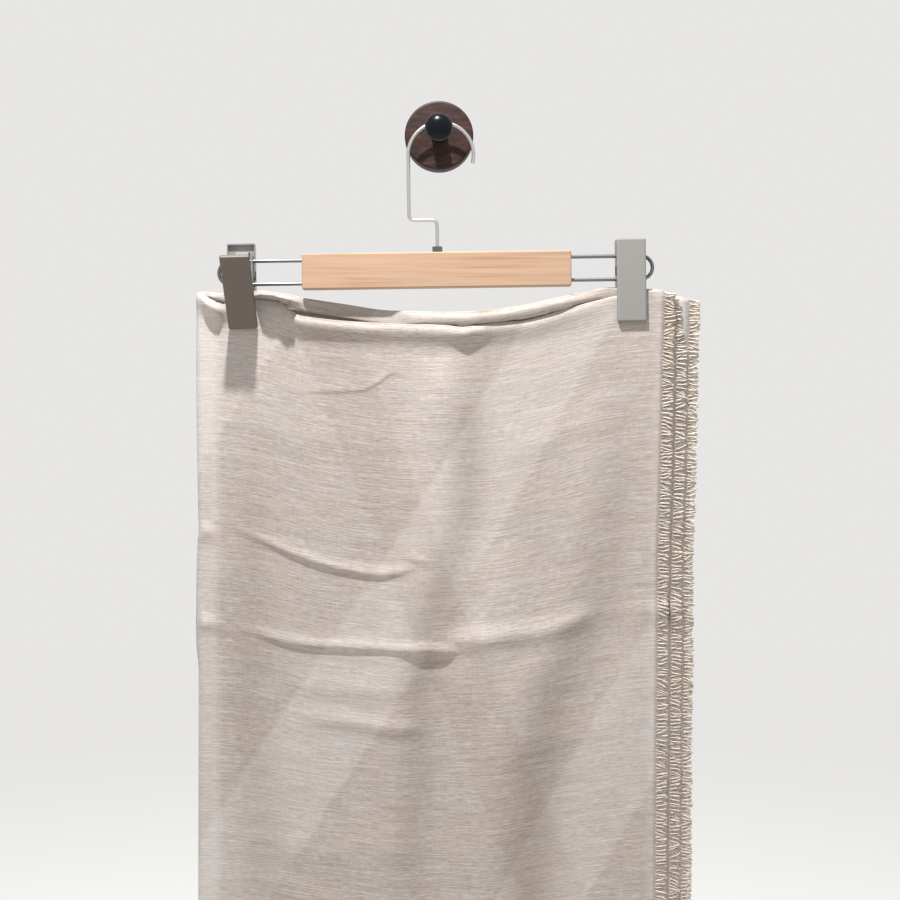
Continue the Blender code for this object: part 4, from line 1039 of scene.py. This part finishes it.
def hook_points():
    """The hook from the foot of its stem to its free end, as (across, height)."""
    drop = PIN_RADIUS + SEAM_GAP + WIRE_RADIUS - HOOK_ARC_RADIUS
    arc_height = -math.sqrt(drop ** 2 - HOOK_ARC_ACROSS ** 2)
    side = HOOK_ARC_ACROSS - HOOK_ARC_RADIUS
    path = rounded_path((
        (HOOK_STEM_ACROSS, HOOK_STEM_END, 0.0), (HOOK_STEM_ACROSS, HOOK_SHELF_HEIGHT, HOOK_BEND),
        (side, HOOK_SHELF_HEIGHT, HOOK_BEND), (side, arc_height, 0.0),
    ), HOOK_BEND_STEPS)
    for angle in np.linspace(math.pi, HOOK_END_ANGLE, HOOK_ARC_STEPS + 1)[1:]:
        across = HOOK_ARC_ACROSS + HOOK_ARC_RADIUS * math.cos(angle)
        path.append(Vector((across, arc_height + HOOK_ARC_RADIUS * math.sin(angle))))
    return path


def rail_points():
    """The rails' closed loop: two straight runs joined by a half circle at each end."""
    radius = RAIL_SPACING / 2.0
    points = []
    for across, start in ((RAIL_RIGHT - radius, 90.0), (RAIL_LEFT + radius, 270.0)):
        for angle in np.radians(start - np.linspace(0.0, 180.0, RAIL_END_STEPS + 1)):
            points.append((across + radius * math.cos(angle), BAR_MIDDLE + radius * math.sin(angle)))
    return points


def replace_node(name, node, data, material, matrix):
    """A finer piece in the place of a CAD node."""
    thing = add_piece(name, data, material)
    thing.matrix_world = matrix
    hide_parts(node)
    return thing


def add_wire(name, node, points, closed, material):
    """A round wire in the hanger's plane through (across, height) points."""
    path = np.array([[(across, 0.0, height) for across, height in points]])
    radii = np.full(path.shape[:2], WIRE_RADIUS)
    data = mesh_from_arrays(name, *tubes(path, radii, WIRE_SIDES, closed))
    data.set_sharp_from_angle(angle=WIRE_SHARP)
    return replace_node(name, node, data, material, HANGER_PLACE)


def add_turned(name, node, profile, closed, steps, material, matrix):
    """A piece turned about an axis; the profile is a row of (radius, place along the axis)."""
    outline = bmesh.new()
    points = [outline.verts.new((radius, 0.0, depth)) for radius, depth in profile]
    for one, other in zip(points, points[1:]):
        outline.edges.new((one, other))
    if closed:
        outline.edges.new((points[-1], points[0]))
    bmesh.ops.spin(outline, geom=outline.verts[:] + outline.edges[:], cent=(0.0, 0.0, 0.0),
                   axis=(0.0, 0.0, 1.0), angle=2.0 * math.pi, steps=steps, use_merge=True)
    bmesh.ops.remove_doubles(outline, verts=outline.verts, dist=MERGE_DISTANCE)
    bmesh.ops.recalc_face_normals(outline, faces=outline.faces)
    data = bpy.data.meshes.new(name)
    outline.to_mesh(data)
    outline.free()
    data.shade_smooth()
    data.set_sharp_from_angle(angle=TURNED_SHARP)
    return replace_node(name, node, data, material, matrix)


def make_peg(walnut, black):
    """The wall peg: a turned disc, and a pin with a round knob."""
    to_wall = Matrix.Rotation(math.pi / 2.0, 4, "X")
    disc = [(0.0, DISC_THICKNESS)]
    for angle in np.radians(np.linspace(90.0, 0.0, DISC_ROUND_STEPS + 1)):
        inset = DISC_ROUND * (1.0 - math.cos(angle))
        disc.append((DISC_RADIUS - inset, DISC_THICKNESS - DISC_ROUND * (1.0 - math.sin(angle))))
    disc += [(DISC_RADIUS, 0.0), (0.0, 0.0)]
    add_turned("disc", "peg_disc", disc, False, TURNED_STEPS, walnut, to_wall)
    neck_angle = math.pi - math.asin(PIN_RADIUS / KNOB_RADIUS)
    foot = DISC_THICKNESS + SEAM_GAP
    pin = [(KNOB_RADIUS * math.sin(angle), KNOB_CENTRE + KNOB_HALF_DEPTH * math.cos(angle))
           for angle in np.linspace(0.0, neck_angle, KNOB_STEPS + 1)]
    pin += [(PIN_RADIUS, foot), (0.0, foot)]
    add_turned("pin", "peg_pin", pin, False, TURNED_STEPS, black, to_wall)


def make_hanger_metal(wire, hook, nut):
    """Hook, rails and the six-sided nut that holds the hook."""
    add_wire("hook", "hanger_hook", hook_points(), False, hook)
    add_wire("rails", "hanger_rails", rail_points(), True, wire)
    half = NUT_HEIGHT / 2.0
    profile = (
        (NUT_HOLE, -half), (NUT_RADIUS - NUT_EDGE, -half), (NUT_RADIUS, NUT_EDGE - half),
        (NUT_RADIUS, half - NUT_EDGE), (NUT_RADIUS - NUT_EDGE, half), (NUT_HOLE, half),
    )
    seat = HANGER_PLACE @ Matrix.Translation((HOOK_STEM_ACROSS, 0.0, BAR_TOP + SEAM_GAP + half))
    turned = seat @ Matrix.Rotation(NUT_TURN, 4, "Z")
    add_turned("nut", "hook_nut", profile, True, NUT_SIDES, nut, turned)


def dress(node, material):
    """Give a CAD node a material."""
    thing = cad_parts[node]
    thing.data.materials.clear()
    thing.data.materials.append(material)


def floor_material():
    """Plain pale floor that fades into the studio's light well before its rim."""
    nodes = Nodes("floor_finish")
    place = nodes.add("TexCoord").outputs["Object"]
    distance = nodes.add("VectorMath", {0: place}, operation="LENGTH").outputs["Value"]
    fade = nodes.remap(distance, *FLOOR_FADE, 0.0, 1.0, interpolation_type="SMOOTHSTEP")
    clear = nodes.add("BsdfTransparent").outputs[0]
    blend = nodes.add("MixShader", {0: fade, 1: nodes.shader.outputs[0], 2: clear})
    nodes.put(nodes.tree.nodes["Material Output"].inputs["Surface"], blend.outputs[0])
    nodes.shader.inputs["Base Color"].default_value = (*to_linear(FLOOR_COLOUR), 1.0)
    nodes.shader.inputs["Roughness"].default_value = 1.0
    nodes.shader.inputs["Specular IOR Level"].default_value = 0.0
    return nodes.material


def make_stage():
    """Floor, soft light and key light."""
    floor_mesh = bmesh.new()
    bmesh.ops.create_grid(floor_mesh, x_segments=1, y_segments=1, size=FLOOR_REACH)
    data = bpy.data.meshes.new("floor")
    floor_mesh.to_mesh(data)
    floor_mesh.free()
    floor = bpy.data.objects.new("floor", data)
    floor.location = (0.0, 0.0, FLOOR_HEIGHT)
    data.materials.append(floor_material())
    bpy.context.scene.collection.objects.link(floor)

    world = bpy.data.worlds.new("studio")
    world.use_nodes = True
    background = world.node_tree.nodes["Background"]
    background.inputs["Color"].default_value = SKY_COLOUR
    background.inputs["Strength"].default_value = SKY_STRENGTH
    bpy.context.scene.world = world

    key = bpy.data.lights.new("key", "AREA")
    key.shape = "DISK"
    key.size = KEY_SIZE
    key.energy = KEY_POWER
    lamp = bpy.data.objects.new("key", key)
    lamp.location = KEY_TARGET - KEY_DISTANCE * KEY_TRAVEL
    lamp.rotation_mode = "QUATERNION"
    lamp.rotation_quaternion = KEY_TRAVEL.to_track_quat("-Z", "Y")
    bpy.context.scene.collection.objects.link(lamp)


def make_camera():
    """The camera at the photograph's viewing angle."""
    data = bpy.data.cameras.new("camera")
    data.lens = CAMERA_LENS
    data.sensor_width = SENSOR_WIDTH
    data.shift_x = SHIFT_RIGHT / PICTURE_SIZE
    data.shift_y = -SHIFT_DOWN / PICTURE_SIZE
    camera = bpy.data.objects.new("camera", data)
    camera.location = CAMERA_PLACE
    camera.rotation_euler = (math.radians(90.0), 0.0, 0.0)
    bpy.context.scene.collection.objects.link(camera)
    bpy.context.scene.camera = camera
    bpy.context.scene.view_settings.view_transform = "Standard"


make_camera()
make_stage()

cloth = cloth_material("cloth_finish", CLOTH_TONES)
fringe_finish = cloth_material("fringe_finish", FRINGE_TONES, by_uv=False)
outer = add_sheet("scarf_outer", outer_points(), cloth)
inner = add_sheet("scarf_inner", inner_points(), cloth)
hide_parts("front_ply", "rear_ply")
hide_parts("inner_plies")
fringes = make_fringes(fringe_finish)
grips = ["clip_left_front_plate", "clip_left_rear_plate", "clip_right_front_plate", "clip_right_rear_plate"]

maple = wood_material("maple_finish", MAPLE_STOPS, MAPLE_REPEATS)
walnut = wood_material("walnut_finish", WALNUT_STOPS, WALNUT_REPEATS)
black = plain_material("lacquer_finish", (8, 12, 15), roughness=0.22, specular=0.16)
# A darker copy of the bright wire metal: painted shade for the rails and the nut
painted_shade_steel = plain_material("steel_finish", (116, 118, 119), roughness=0.38, metallic=1.0)
bright = plain_material("bright_finish", (196, 196, 193), roughness=0.34, metallic=1.0)
plate = plain_material("plate_finish", (129, 127, 123), roughness=0.55, metallic=0.10)
# A darker, browner copy of the plate finish: painted shade for the left front plate
painted_shade_plate = plain_material("dull_plate_finish", (96, 85, 77), roughness=0.55, metallic=0.10)
dress("hanger_bar", maple)
make_peg(walnut, black)
# Rails and nut take the wire metal with painted shade; the hook takes the bright one
make_hanger_metal(painted_shade_steel, bright, painted_shade_steel)
for node in ("clip_left_spring", "clip_right_spring"):
    dress(node, bright)
# The left front plate takes the copy with painted shade
for node in ("clip_left_saddle", "clip_right_saddle", *grips):
    dress(node, painted_shade_plate if node == "clip_left_front_plate" else plate)
